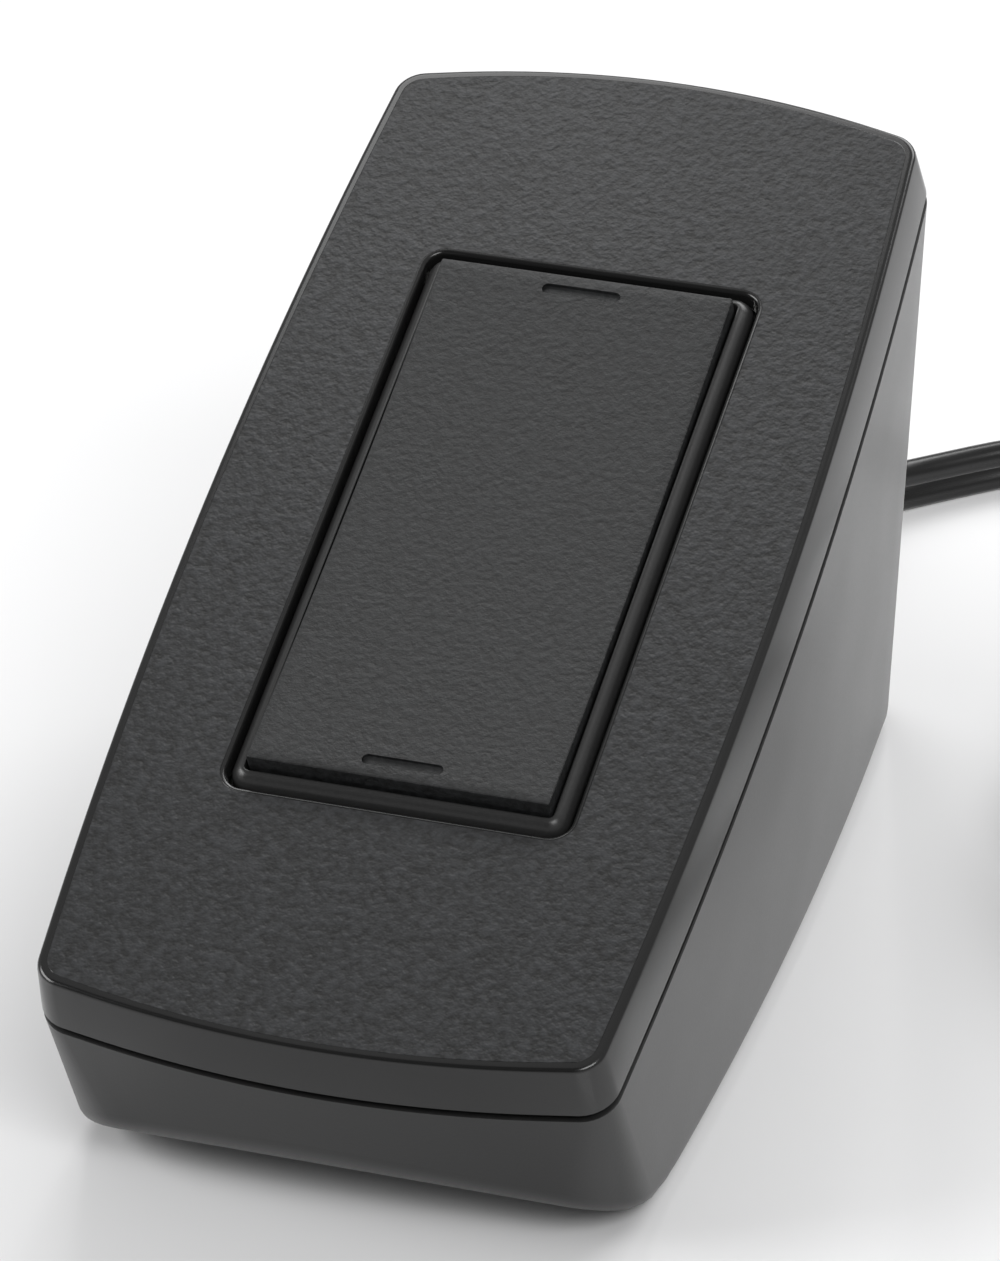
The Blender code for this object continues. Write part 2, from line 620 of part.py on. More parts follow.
def smooth_line(points, step):
    """Points about a step apart on a smooth curve through the route's own points."""
    knots = [Vector(p) for p in points]
    fine = []
    for i in range(len(knots) - 1):
        before = knots[max(i - 1, 0)]
        start, end = knots[i], knots[i + 1]
        after = knots[min(i + 2, len(knots) - 1)]
        for k in range(12):
            t = k / 12
            a = 2.0 * start
            b = (end - before) * t
            c = (2.0 * before - 5.0 * start + 4.0 * end - after) * t**2
            d = (3.0 * start - before - 3.0 * end + after) * t**3
            fine.append(0.5 * (a + b + c + d))
    fine.append(knots[-1])
    length = sum((q - p).length for p, q in zip(fine, fine[1:]))
    pieces = max(2, round(length / step))
    line, walked, want = [fine[0]], 0.0, length / pieces
    for p, q in zip(fine, fine[1:]):
        span = (q - p).length
        while walked + span >= want * len(line) and len(line) < pieces:
            line.append(p.lerp(q, (want * len(line) - walked) / span))
        walked += span
    line.append(fine[-1])
    return line


def route(points):
    return [(x * MM, y * MM, z * MM) for x, y, z in points]


def make_power_parts():
    half = POWER_BOARD[0] / 2
    front, rear = POWER_BOARD_Y - POWER_BOARD[1] / 2, POWER_BOARD_Y + POWER_BOARD[1] / 2
    top = POWER_BOARD_Z + BOARD_THICK
    bm = bmesh.new()
    box(bm, (-half, front, POWER_BOARD_Z), (half, rear, top))
    board = add("power_board", bm, BOARD)
    bm = bmesh.new()
    for x, y in POWER_SCREWS:
        turned(bm, [(1.1 * MM, POWER_BOARD_Z - MM), (1.1 * MM, top + MM)], 10, x, y)
    boolean(board, "DIFFERENCE", bm, "tool_power_board")
    for i, (x, y) in enumerate(POWER_SCREWS):
        place = (x, y, top + GAP)
        screw(f"board_screw_{i + 1}", 1.9 * MM, 1.3 * MM, 0.7 * MM, 4.6 * MM, None, place, up=False)
    low = top + GAP
    blocks = {
        "transformer_core": ((-10.5, 12.0, 0.0), (8.5, 30.0, 15.0), STEEL),
        "terminal_block": ((-5.5, 35.0, 0.0), (5.5, 43.5, 9.0), INNER_PLASTIC),
        "board_connector": ((-5.0, -4.8, 0.0), (5.0, 0.5, 4.0), WHITE),
        "relay_module": ((-9.0, 2.5, 0.0), (3.0, 9.5, 9.0), CAN),
    }
    for name, (a, b, look) in blocks.items():
        bm = bmesh.new()
        box(bm, [k * MM for k in a], [k * MM for k in b])
        upright = [e for e in bm.edges if abs(e.verts[0].co.z - e.verts[1].co.z) > 2 * MM]
        bmesh.ops.bevel(bm, geom=upright, offset=0.6 * MM, segments=1, affect="EDGES")
        add(name, bm, look).location.z = low
    bm = bmesh.new()
    turned(bm, [(3.6 * MM, 0.0), (4.0 * MM, 0.5 * MM), (4.0 * MM, 12.0 * MM), (3.6 * MM, 12.5 * MM)], 16)
    add("filter_capacitor", bm, CAN).location = (9.0 * MM, 6.2 * MM, low)
    bm = bmesh.new()
    profile = [(1.5 * MM, 0.0), (1.9 * MM, 0.4 * MM), (1.9 * MM, 9.6 * MM), (1.5 * MM, 10.0 * MM)]
    turned(bm, profile, 12)
    bmesh.ops.rotate(bm, verts=bm.verts, matrix=Matrix.Rotation(-math.pi / 2, 3, "X"))
    add("line_fuse", bm, WHITE).location = (11.5 * MM, 19.0 * MM, low + 1.95 * MM)
    bm = bmesh.new()
    rectangle_prism(bm, (13.4 * MM, 12.0 * MM), 3.0 * MM, 0.0, 3.2 * MM, 3)
    add("transformer_winding", bm, WINDING).location = (-1.0 * MM, 21.0 * MM, low + 15.0 * MM + GAP)
    ribbon = [
        (0.0, -2.2, 12.3), (0.0, -2.4, 15.0), (0.0, -0.5, 19.0), (0.0, 6.0, 23.4),
        (0.0, 14.0, 28.0), (0.0, 23.0, 33.6), (0.0, 29.4, 39.0), (0.0, 31.0, 44.6),
    ]
    line = smooth_line(route(ribbon), 3.0 * MM)
    bm = bmesh.new()
    rings = []
    for i, p in enumerate(line):
        along = (line[min(i + 1, len(line) - 1)] - line[max(i - 1, 0)]).normalized()
        across = Vector((1.0, 0.0, 0.0))
        flat = along.cross(across).normalized() * 0.45 * MM
        wide = across * 4.0 * MM
        rings.append([p - wide - flat, p + wide - flat, p + wide + flat, p - wide + flat])
    loft(bm, rings)
    add("board_cable", bm, WHITE)
    for name, side, look in (("lead_line", 1, CORD), ("lead_neutral", -1, WHITE)):
        way = [
            (side * 1.6, 50.3, 8.6), (side * 1.7, 48.5, 9.2),
            (side * 2.2, 46.5, 11.0), (side * 2.6, 44.2, 12.2),
        ]
        tube(name, smooth_line(route(way), 2.0 * MM), 0.9 * MM, look, 1)


def make_cord():
    """Strain relief, cord, coil, tie and plug."""
    out = smooth_line(route(ROUTE_OUT), TUBE_STEP)
    whole = smooth_line(route(ROUTE_OUT), 1.0 * MM)
    end = next(i for i in range(len(whole)) if i * MM >= RELIEF_LONG)
    sleeve = whole[: end + 1 : 3]
    inside = [Vector((0.0, y * MM, CORD_EXIT_Z)) for y in (50.6, 52.2, 52.2)]
    flange = [RELIEF_FLANGE, RELIEF_FLANGE, RELIEF_ROOT]
    centres = inside + sleeve
    slimmer = (RELIEF_TIP - RELIEF_ROOT) / (len(sleeve) - 1)
    radii = flange + [RELIEF_ROOT + slimmer * i for i in range(len(sleeve))]
    rings = []
    for i, centre in enumerate(centres):
        if i < len(inside):
            along = Vector((0.0, 1.0, 0.0))
        else:
            along = (centres[min(i + 1, len(centres) - 1)] - centres[i - 1]).normalized()
        side = along.cross(Vector((0.0, 0.0, 1.0))).normalized()
        above = side.cross(along)
        rings.append([centre + radii[i] * (x * side + y * above) for x, y in circle(1.0, 16)])
    bm = bmesh.new()
    loft(bm, rings)
    add("strain_relief", bm, CORD)

    start = whole[end + 1]
    tail = [start] + [p for p in out if p.y > start.y + 3 * MM]
    tube("cord_run", tail, CORD_THICK / 2, CORD, 2)
    tube("cord_tail", smooth_line(route(ROUTE_BACK), TUBE_STEP), CORD_THICK / 2, CORD, 2)

    bm = bmesh.new()
    inner, outer_radius = COIL_RADIUS - COIL_BAND / 2, COIL_RADIUS + COIL_BAND / 2
    corner = 1.4 * MM
    profile = [
        (inner, COIL_LOW + corner), (inner + corner, COIL_LOW), (outer_radius - corner, COIL_LOW),
        (outer_radius, COIL_LOW + corner), (outer_radius, COIL_HIGH - corner),
        (outer_radius - corner, COIL_HIGH), (inner + corner, COIL_HIGH), (inner, COIL_HIGH - corner),
    ]
    sides = 40
    rings = []
    for i in range(sides):
        a = 2.0 * math.pi * i / sides
        rings.append([bm.verts.new((r * math.cos(a), r * math.sin(a), z)) for r, z in profile])
    for i in range(sides):
        near, far = rings[i], rings[(i + 1) % sides]
        for k in range(len(profile)):
            m = (k + 1) % len(profile)
            bm.faces.new((near[k], far[k], far[m], near[m]))
    add("cord_coil", bm, CORD).location = (*COIL_CENTRE, 0.0)

    bm = bmesh.new()
    reach, high = COIL_BAND / 2 + 2 * GAP, COIL_HIGH + GAP
    outer = reach + TIE_THICK
    loops = [
        [(-reach, TIE_THICK), (reach, TIE_THICK), (reach, high), (-reach, high)],
        [(-outer, 0.0), (outer, 0.0), (outer, high + TIE_THICK), (-outer, high + TIE_THICK)],
    ]
    near = [[bm.verts.new((x, -TIE_HALF, z)) for x, z in loop] for loop in loops]
    far = [[bm.verts.new((x, TIE_HALF, z)) for x, z in loop] for loop in loops]
    for k in range(4):
        m = (k + 1) % 4
        bm.faces.new((near[0][k], near[0][m], far[0][m], far[0][k]))
        bm.faces.new((near[1][k], near[1][m], far[1][m], far[1][k]))
        bm.faces.new((near[0][k], near[0][m], near[1][m], near[1][k]))
        bm.faces.new((far[0][k], far[0][m], far[1][m], far[1][k]))
    tie = add("cord_tie", bm, TIE)
    tie.location = (
        COIL_CENTRE[0] + COIL_RADIUS * math.cos(TIE_TURN),
        COIL_CENTRE[1] + COIL_RADIUS * math.sin(TIE_TURN),
        0.0,
    )
    tie.rotation_euler = (0.0, 0.0, TIE_TURN)

    plug = empty("plug", PLUG)
    bm = bmesh.new()
    sections = [
        (0.0, 4.2, 3.4), (-7.0, 5.6, 4.4), (-9.0, 10.5, 4.9),
        (-20.0, 12.5, 5.0), (-24.0, 12.5, 5.0),
    ]
    rings = []
    for y, half_wide, half_high in sections:
        plan = rounded_rectangle(2 * half_wide * MM, 2 * half_high * MM, 0.85 * half_high * MM, 4)
        rings.append([(x, y * MM, z) for x, z in plan])
    loft(bm, rings)
    add("plug_body", bm, CORD, plug)
    for name, side in (("plug_blade_left", -1), ("plug_blade_right", 1)):
        bm = bmesh.new()
        x = side * BLADE_X
        thick, long, high = BLADE
        start_y = -24.0 * MM - GAP
        box(bm, (x - thick / 2, start_y - long, -high / 2), (x + thick / 2, start_y, high / 2))
        blade = add(name, bm, BRASS, plug)
        bm = bmesh.new()
        turned(bm, [(1.6 * MM, -3.0 * MM), (1.6 * MM, 3.0 * MM)], 12)
        bmesh.ops.rotate(bm, verts=bm.verts, matrix=Matrix.Rotation(math.pi / 2, 3, "Y"))
        bmesh.ops.translate(bm, verts=bm.verts, vec=(x, start_y - long + 3.4 * MM, 0.0))
        boolean(blade, "DIFFERENCE", bm, "tool_" + name, plug)


make_top_cover()
make_base_housing()
for foot_name, foot_place in FEET.items():
    make_foot(foot_name, foot_place)
for screw_name, (screw_x, screw_y, tube_top) in CASE_SCREWS.items():
    seat_z = tube_top - SEAT_DEEP - GAP
    screw(
        "case_screw_" + screw_name, HEAD_RADIUS, HEAD_HIGH, SHANK_RADIUS, 14.0 * MM, None,
        (screw_x, screw_y, seat_z),
    )
make_rocker_frame()
PIVOT = empty("rocker_pivot", (0.0, 0.0, PIVOT_N), parent=DECK)
make_paddle(PIVOT)
make_pivot_rod()
make_yoke()
for screw_name, screw_v in (("upper", YOKE_SCREW_V), ("lower", -YOKE_SCREW_V)):
    seat_n = YOKE_TOP - YOKE_THICK - GAP
    screw("yoke_screw_" + screw_name, 2.6 * MM, 1.7 * MM, 1.0 * MM, 3.4 * MM, DECK, (0.0, screw_v, seat_n))
make_tray()
make_control_parts()
make_power_parts()
make_cord()
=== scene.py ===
# %% [markdown]
# # A desk-top rocker controller
#
# The real object is a small wedge of moulded plastic that stands on a table. A thin cover with one large
# rocker closes a deep lower housing, and a flat mains cord leaves it at the rear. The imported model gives
# every place and size. This script makes the surfaces that are seen: two shells, the rocker and its
# frame, the cord with its coil and plug, the screws and feet, and a finish for each of them.

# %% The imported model
import json
import math

import bmesh
import bpy
from mathutils import Matrix, Vector
from mathutils.kdtree import KDTree


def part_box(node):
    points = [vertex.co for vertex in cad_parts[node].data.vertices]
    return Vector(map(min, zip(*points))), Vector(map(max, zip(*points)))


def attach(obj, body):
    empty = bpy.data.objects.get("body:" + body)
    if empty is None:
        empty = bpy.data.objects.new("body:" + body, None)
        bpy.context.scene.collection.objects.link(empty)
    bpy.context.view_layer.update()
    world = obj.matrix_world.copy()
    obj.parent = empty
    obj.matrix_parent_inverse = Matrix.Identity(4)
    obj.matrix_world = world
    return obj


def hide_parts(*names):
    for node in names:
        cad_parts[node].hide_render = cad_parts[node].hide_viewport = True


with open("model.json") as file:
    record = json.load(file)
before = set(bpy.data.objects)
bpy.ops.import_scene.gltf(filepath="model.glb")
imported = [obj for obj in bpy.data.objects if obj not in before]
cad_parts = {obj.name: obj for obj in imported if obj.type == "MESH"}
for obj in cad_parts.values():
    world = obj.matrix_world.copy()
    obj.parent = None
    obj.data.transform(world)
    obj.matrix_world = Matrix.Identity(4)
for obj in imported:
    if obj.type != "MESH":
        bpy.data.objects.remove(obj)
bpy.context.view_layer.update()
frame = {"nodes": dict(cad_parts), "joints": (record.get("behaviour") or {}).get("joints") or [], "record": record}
MM = 0.001
NODES = frame["nodes"]
JOINTS = {joint["name"]: joint for joint in frame["joints"]}
print("packed nodes:", len(NODES))

# %% [markdown]
# ## The deck
#
# The cover's top slopes, and the rocker tilts about a rod just under it. It is easiest to think of that
# slope as a flat drawing board with three directions of its own: u to the right, v up the slope, and n
# square out of it. The rocker's axis and the direction in which the switch plungers slide are in the
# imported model, so the board is laid out from them.

# %% The deck's directions
PIVOT_DEEP = 3.0 * MM
PIVOT = Vector(JOINTS["rocker_tilt"]["pos_m"])
ACROSS = Vector((1.0, 0.0, 0.0))
SQUARE = Vector(JOINTS["plunger_upper_slide"]["axis"]).normalized()
UPHILL = SQUARE.cross(ACROSS)


def on_deck(u, v, n):
    """A place on the deck, n above its surface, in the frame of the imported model."""
    return PIVOT + ACROSS * u + UPHILL * v + SQUARE * (n + PIVOT_DEEP)


print("deck slopes by", round(math.degrees(math.asin(UPHILL.z)), 2), "degrees")

# %% [markdown]
# ## Camera
#
# A long lens far away keeps the wedge's sides nearly parallel, as a product shot does. The camera's place
# and its three angles are enough: its own X and Y axes are the right and up directions of the view,
# turned a little by the roll.

# %% Camera
CAMERA_PLACE = Vector((0.2014, -0.5938, 0.4020))
CAMERA_AZIMUTH = math.radians(18.748)
CAMERA_ELEVATION = math.radians(30.396)
CAMERA_ROLL = math.radians(-1.024)
CAMERA_LENS = 220.72


def add_camera():
    sin_a, cos_a = math.sin(CAMERA_AZIMUTH), math.cos(CAMERA_AZIMUTH)
    sin_e, cos_e = math.sin(CAMERA_ELEVATION), math.cos(CAMERA_ELEVATION)
    ahead = Vector((-sin_a * cos_e, cos_a * cos_e, -sin_e))
    right = Vector((cos_a, sin_a, 0.0))
    above = right.cross(ahead)
    side = math.cos(CAMERA_ROLL) * right + math.sin(CAMERA_ROLL) * above
    top = math.cos(CAMERA_ROLL) * above - math.sin(CAMERA_ROLL) * right
    bpy.ops.object.camera_add()
    camera = bpy.context.object
    attitude = Matrix((side, top, -ahead)).transposed().to_4x4()
    camera.matrix_world = Matrix.Translation(CAMERA_PLACE) @ attitude
    camera.data.lens = CAMERA_LENS
    camera.data.clip_end = 20.0
    bpy.context.scene.camera = camera
    print("camera with a lens of", CAMERA_LENS, "mm")


add_camera()

# %% [markdown]
# ## Shader maths
#
# A finish is easier to read when its numbers are written as sums. A signal wraps one output socket of a
# node, and arithmetic on signals adds the Math nodes. Every other node comes from one method, which takes
# the node's type, its settings and what goes into its sockets.

# %% Signals and finishes


class Signal:
    """One output socket. Sums on it add Math nodes to the same material."""

    def __init__(self, finish, socket):
        self.finish = finish
        self.socket = socket

    def math(self, operation, first, second):
        return self.finish.node("ShaderNodeMath", {"operation": operation}, {0: first, 1: second})

    def __add__(self, other):
        return self.math("ADD", self, other)

    __radd__ = __add__

    def __sub__(self, other):
        return self.math("SUBTRACT", self, other)

    def __rsub__(self, other):
        return self.math("SUBTRACT", other, self)

    def __mul__(self, other):
        return self.math("MULTIPLY", self, other)

    __rmul__ = __mul__


class Finish:
    """A material on one Principled shader."""

    def __init__(self, name, **constants):
        self.material = bpy.data.materials.new(name)
        self.material.use_nodes = True
        self.tree = self.material.node_tree
        self.shader = self.tree.nodes["Principled BSDF"]
        for socket, value in constants.items():
            self.shader.inputs[socket.replace("_", " ")].default_value = value

    def put(self, socket, value):
        if isinstance(value, Signal):
            self.tree.links.new(value.socket, socket)
        else:
            socket.default_value = value

    def node(self, kind, settings, inputs, output=0):
        made = self.tree.nodes.new(kind)
        for name, value in settings.items():
            setattr(made, name, value)
        for name, value in inputs.items():
            self.put(made.inputs[name], value)
        return Signal(self, made.outputs[output])

    def place(self):
        return self.node("ShaderNodeTexCoord", {}, {}, "Object")

    def noise(self, size, detail=2.0, rough=0.5):
        """Soft random values from 0 to 1 with features of one size, in metres."""
        return self.node(
            "ShaderNodeTexNoise", {},
            {"Vector": self.place(), "Scale": 1.0 / size, "Detail": detail, "Roughness": rough},
        )

    def spread(self, signal, low, high, to_low=0.0, to_high=1.0):
        """A signal's stretch from low to high, drawn out to a new range."""
        return self.node(
            "ShaderNodeMapRange", {},
            {"Value": signal, "From Min": low, "From Max": high, "To Min": to_low, "To Max": to_high},
        )

    def tint(self, factor, first, second):
        """A colour between two colours."""
        return self.node(
            "ShaderNodeMix", {"data_type": "RGBA"},
            {"Factor": factor, "A": (*first, 1.0), "B": (*second, 1.0)}, 2,
        )

    def bump(self, height, depth, before=None):
        """A normal from a height between 0 and 1, depth metres from low to high."""
        inputs = {"Height": height, "Distance": depth, "Strength": 1.0}
        if before is not None:
            inputs["Normal"] = before
        return self.node("ShaderNodeBump", {}, inputs)

    def feed(self, **signals):
        for socket, value in signals.items():
            self.put(self.shader.inputs[socket.replace("_", " ")], value)
        return self.material


# %% [markdown]
# ## Moulded plastic
#
# Moulded plastic is never quite even. The tool leaves fine grains, and the colour and the gloss drift a
# little across a piece, which is what stops it looking like paint. One function makes all the plain
# kinds: the lower housing with a satin sheen, the duller rocker, and the frame round it.

# %% Plain moulded plastics
DRIFT_SIZE = 14.0 * MM


def grey(value):
    return (value, value, value)


def moulded(name, dark, light, rough, grain_size, grain_deep, gloss_drift):
    """Plain moulded plastic: grains for the light to catch, and slow drifts of colour and gloss."""
    finish = Finish(name, Specular_IOR_Level=0.5)
    grain = finish.noise(grain_size, 3.0, 0.6)
    drift = finish.noise(DRIFT_SIZE)
    speckle = finish.spread(grain, 0.32, 0.68)
    return finish.feed(
        Base_Color=finish.tint(speckle * 0.75 + drift * 0.25, dark, light),
        Roughness=rough + (drift - 0.5) * gloss_drift + (grain - 0.5) * gloss_drift,
        Normal=finish.bump(grain, grain_deep),
    )


BASE_DARK = grey(0.010)
BASE_LIGHT = grey(0.014)
BASE_PLASTIC = moulded(
    "base_plastic", BASE_DARK, BASE_LIGHT,
    rough=0.37, grain_size=0.30 * MM, grain_deep=0.006 * MM, gloss_drift=0.05,
)
ROCKER_PLASTIC = moulded(
    "rocker_plastic", grey(0.003), (0.016, 0.017, 0.018),
    rough=0.50, grain_size=0.75 * MM, grain_deep=0.11 * MM, gloss_drift=0.06,
)
FRAME_PLASTIC = moulded(
    "frame_plastic", grey(0.016), grey(0.022),
    rough=0.34, grain_size=0.30 * MM, grain_deep=0.006 * MM, gloss_drift=0.04,
)
print("plain plastics:", BASE_PLASTIC.name, ROCKER_PLASTIC.name, FRAME_PLASTIC.name)

# %% [markdown]
# ## The cover's two textures
#
# The tool's top face was spark-eroded, so the cover's top is covered with fine grains, while its margin,
# its rounded edge and its side band are as smooth as the lower housing. An attribute named eroded, which
# is 1 on the top and 0 elsewhere, mixes the two in one material.

# %% Cover plastic
COVER_DARK = grey(0.003)
COVER_LIGHT = (0.020, 0.021, 0.023)
COARSE_GRAIN = 0.95 * MM
FINE_GRAIN = 0.45 * MM
GRAIN_DEEP = 0.17 * MM
SMOOTH_GLOSS = 0.20
ERODED_GLOSS = 0.50
SMOOTH_SHARE = 0.03


def cover_finish():
    """Grains and speckled colour where the top is eroded, satin elsewhere."""
    finish = Finish("cover_plastic", Specular_IOR_Level=0.5)
    eroded = finish.node("ShaderNodeAttribute", {"attribute_name": "eroded"}, {}, "Fac")
    drift = finish.noise(16.0 * MM)
    grain = finish.noise(COARSE_GRAIN) * 0.65 + finish.noise(FINE_GRAIN, 1.0) * 0.35
    rough_colour = finish.tint(finish.spread(grain, 0.36, 0.64), COVER_DARK, COVER_LIGHT)
    smooth_colour = finish.tint(drift, BASE_DARK, BASE_LIGHT)
    colour = finish.node(
        "ShaderNodeMix", {"data_type": "RGBA"},
        {"Factor": eroded, "A": smooth_colour, "B": rough_colour}, 2,
    )
    return finish.feed(
        Base_Color=colour,
        Roughness=SMOOTH_GLOSS + eroded * (ERODED_GLOSS - SMOOTH_GLOSS) + (drift - 0.5) * 0.05,
        Normal=finish.bump(grain * (SMOOTH_SHARE + eroded * (1.0 - SMOOTH_SHARE)), GRAIN_DEEP),
    )


COVER_PLASTIC = cover_finish()
print("cover grains", round(COARSE_GRAIN / MM, 2), "and", round(FINE_GRAIN / MM, 2), "mm across")

# %% [markdown]
# ## Cord vinyl and rubber
#
# The cord's cover is soft vinyl, extruded through a die. The die leaves fine lines along the cord, so the
# pattern follows the cord's own UV map: u runs round it and v along it, both in metres. The plug, the
# feet and the tie are even all over, so the function for moulded plastic does for them.

# %% Cord vinyl, plug and rubber
DIE_LINES = (2600.0, 90.0, 1.0)


def cord_finish():
    """Glossy vinyl with fine lines along the cord; the lines are given per metre."""
    finish = Finish("cord_vinyl", Specular_IOR_Level=0.5)
    drawn = finish.node("ShaderNodeUVMap", {"uv_map": "along"}, {})
    squeezed = finish.node("ShaderNodeMapping", {}, {"Vector": drawn, "Scale": DIE_LINES})
    lines = finish.node("ShaderNodeTexNoise", {}, {"Vector": squeezed, "Scale": 1.0, "Detail": 2.0})
    drift = finish.noise(9.0 * MM)
    return finish.feed(
        Base_Color=finish.tint(drift, grey(0.004), grey(0.008)),
        Roughness=0.24 + drift * 0.10 + (lines - 0.5) * 0.08,
        Normal=finish.bump(lines, 0.010 * MM),
    )


CORD_VINYL = cord_finish()
PLUG_VINYL = moulded(
    "plug_vinyl", grey(0.010), grey(0.018),
    rough=0.42, grain_size=0.25 * MM, grain_deep=0.012 * MM, gloss_drift=0.08,
)
FOOT_RUBBER = moulded(
    "foot_rubber", grey(0.012), grey(0.030),
    rough=0.82, grain_size=0.45 * MM, grain_deep=0.05 * MM, gloss_drift=0.06,
)
TIE_BLACK = moulded(
    "tie_black", grey(0.008), grey(0.022),
    rough=0.70, grain_size=0.60 * MM, grain_deep=0.08 * MM, gloss_drift=0.10,
)
print("soft finishes:", CORD_VINYL.name, PLUG_VINYL.name, FOOT_RUBBER.name, TIE_BLACK.name)

# %% [markdown]
# ## Plated metal
#
# The screws and the plug's blades are plated. Brushing leaves fine lines in one direction, so the noise is
# squeezed far more across them than along them, and a little tarnish dulls the metal in patches.

# %% Plated metal
BRUSH_LINES = (9000.0, 500.0, 9000.0)


def metal_finish(name, bright, tarnished, rough):
    """Bright plated metal with fine brushed lines and a little tarnish."""
    finish = Finish(name, Metallic=1.0)
    brushed = finish.node("ShaderNodeMapping", {}, {"Vector": finish.place(), "Scale": BRUSH_LINES})
    lines = finish.node("ShaderNodeTexNoise", {}, {"Vector": brushed, "Scale": 1.0, "Detail": 1.0})
    tarnish = finish.spread(finish.noise(2.5 * MM, 4.0, 0.6), 0.45, 0.75)
    return finish.feed(
        Base_Color=finish.tint(tarnish, bright, tarnished),
        Roughness=rough + tarnish * 0.18 + (lines - 0.5) * 0.10,
        Normal=finish.bump(lines, 0.004 * MM),
    )


ZINC_STEEL = metal_finish("zinc_steel", (0.62, 0.62, 0.60), (0.42, 0.42, 0.41), 0.28)
PLUG_BRASS = metal_finish("plug_brass", (0.78, 0.62, 0.34), (0.55, 0.40, 0.20), 0.22)
print("metals:", ZINC_STEEL.name, PLUG_BRASS.name)

# %% [markdown]
# ## Working in edit mode
#
# The shells are swept: one closed outline is extruded again and again, and each new ring is put on the
# next outline. After an extrusion the new points lie exactly on the old ones, so the nearest old point
# tells which place in the next outline each of them takes. Capping the two ends, or bridging the last
# ring to the first, closes the body.

# %% Sweeping a body


def only(piece):
    """Make one object the selected and active one."""
    bpy.ops.object.select_all(action="DESELECT")
    piece.select_set(True)
    bpy.context.view_layer.objects.active = piece


def swept(name, rings, ring_shaped=False):
    """A closed body through rings of equally many points, capped, or joined up into a ring."""
    bpy.ops.object.select_all(action="DESELECT")
    bpy.ops.mesh.primitive_circle_add(vertices=len(rings[0]), radius=1.0)
    piece = bpy.context.object
    piece.name = name
    piece.data.name = name
    for vertex, point in zip(piece.data.vertices, rings[0]):
        vertex.co = point
    bpy.ops.object.mode_set(mode="EDIT")
    bpy.ops.mesh.select_all(action="SELECT")
    for old, new in zip(rings, rings[1:]):
        bpy.ops.mesh.extrude_edges_move()
        mesh = bmesh.from_edit_mesh(piece.data)
        tree = KDTree(len(old))
        for index, point in enumerate(old):
            tree.insert(point, index)
        tree.balance()
        for vertex in mesh.verts:
            if vertex.select:
                vertex.co = new[tree.find(vertex.co)[1]]
        bmesh.update_edit_mesh(piece.data)
    bpy.ops.mesh.select_all(action="DESELECT")
    bpy.ops.mesh.select_mode(type="EDGE")
    bpy.ops.mesh.select_non_manifold()
    if ring_shaped:
        bpy.ops.mesh.bridge_edge_loops()
    else:
        bpy.ops.mesh.fill_holes(sides=0)
    bpy.ops.mesh.select_all(action="SELECT")
    bpy.ops.mesh.normals_make_consistent(inside=False)
    bpy.ops.mesh.select_mode(type="VERT")
    bpy.ops.object.mode_set(mode="OBJECT")
    return piece


# %% [markdown]
# ## Outlines
#
# Every ring of a sweep is one outline with four sides and round corners. A side may bow outwards: it is
# then a flat parabola whose middle stands out by the bow. All outlines have equally many points in the
# same order, so that any of them can follow any other in a sweep.

# %% Outlines
LEAST_CORNER = 0.4 * MM
STRAIGHT = (0.0, 0.0, 0.0)


def outline(half_front, half_rear, front, rear, bows, corner, inset=0.0, corner_steps=8, side_steps=24):
    """Four bowed sides with round corners, anticlockwise. The bows are those of side, rear and front."""
    half_front, half_rear = half_front - inset, half_rear - inset
    front, rear = front + inset, rear - inset
    corner = max(corner - inset, LEAST_CORNER)
    marks = [
        Vector((half_front, front)), Vector((half_rear, rear)),
        Vector((-half_rear, rear)), Vector((-half_front, front)),
    ]
    side_bow, rear_bow, front_bow = bows
    bulges = [side_bow, rear_bow, side_bow, front_bow]
    points = []
    for k in range(4):
        along = marks[(k + 1) % 4] - marks[k]
        came = marks[k] - marks[k - 1]
        goes = (along + Vector((along.y, -along.x)).normalized() * 4.0 * bulges[k]).normalized()
        came = (came - Vector((came.y, -came.x)).normalized() * 4.0 * bulges[k - 1]).normalized()
        turn = came.angle(goes)
        reach = corner * math.tan(turn / 2)
        centre = marks[k] - came * reach + Vector((-came.y, came.x)) * corner
        first = math.atan2(-came.x, came.y)
        for i in range(corner_steps + 1):
            angle = first + turn * i / corner_steps
            points.append(centre + corner * Vector((math.cos(angle), math.sin(angle))))
        out = Vector((along.y, -along.x)).normalized()
        for i in range(1, side_steps):
            t = reach / along.length + (1.0 - 2.0 * reach / along.length) * i / side_steps
            points.append(marks[k] + along * t + out * (4.0 * bulges[k] * t * (1.0 - t)))
    return points


def rectangle(width, length, corner, grow=0.0):
    """A rounded rectangle with as many points as any other outline."""
    half = width / 2
    return outline(half, half, -length / 2, length / 2, STRAIGHT, corner, -grow)


def raised(points, height):
    return [on_deck(p.x, p.y, height) for p in points]


# %% [markdown]
# ## Finishing and cutting
#
# A finished piece lies at the origin with its place in its mesh, is shaded smooth up to an angle, and
# rides on the body that moves it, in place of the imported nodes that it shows. Holes and slots are cut
# with simple tools, which are removed again.

# %% Finishing and cutting


def finished(piece, material, body, slot, *nodes, smooth=32.0):
    """Shade a new piece, give it its material, and let it ride in place of CAD nodes."""
    only(piece)
    bpy.ops.object.transform_apply(location=True, rotation=True, scale=True)
    bpy.ops.object.shade_smooth_by_angle(angle=math.radians(smooth))
    piece.data.materials.clear()
    piece.data.materials.append(material)
    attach(piece, body)
    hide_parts(*nodes)
    print(piece.name, len(piece.data.polygons), "faces")
    return piece


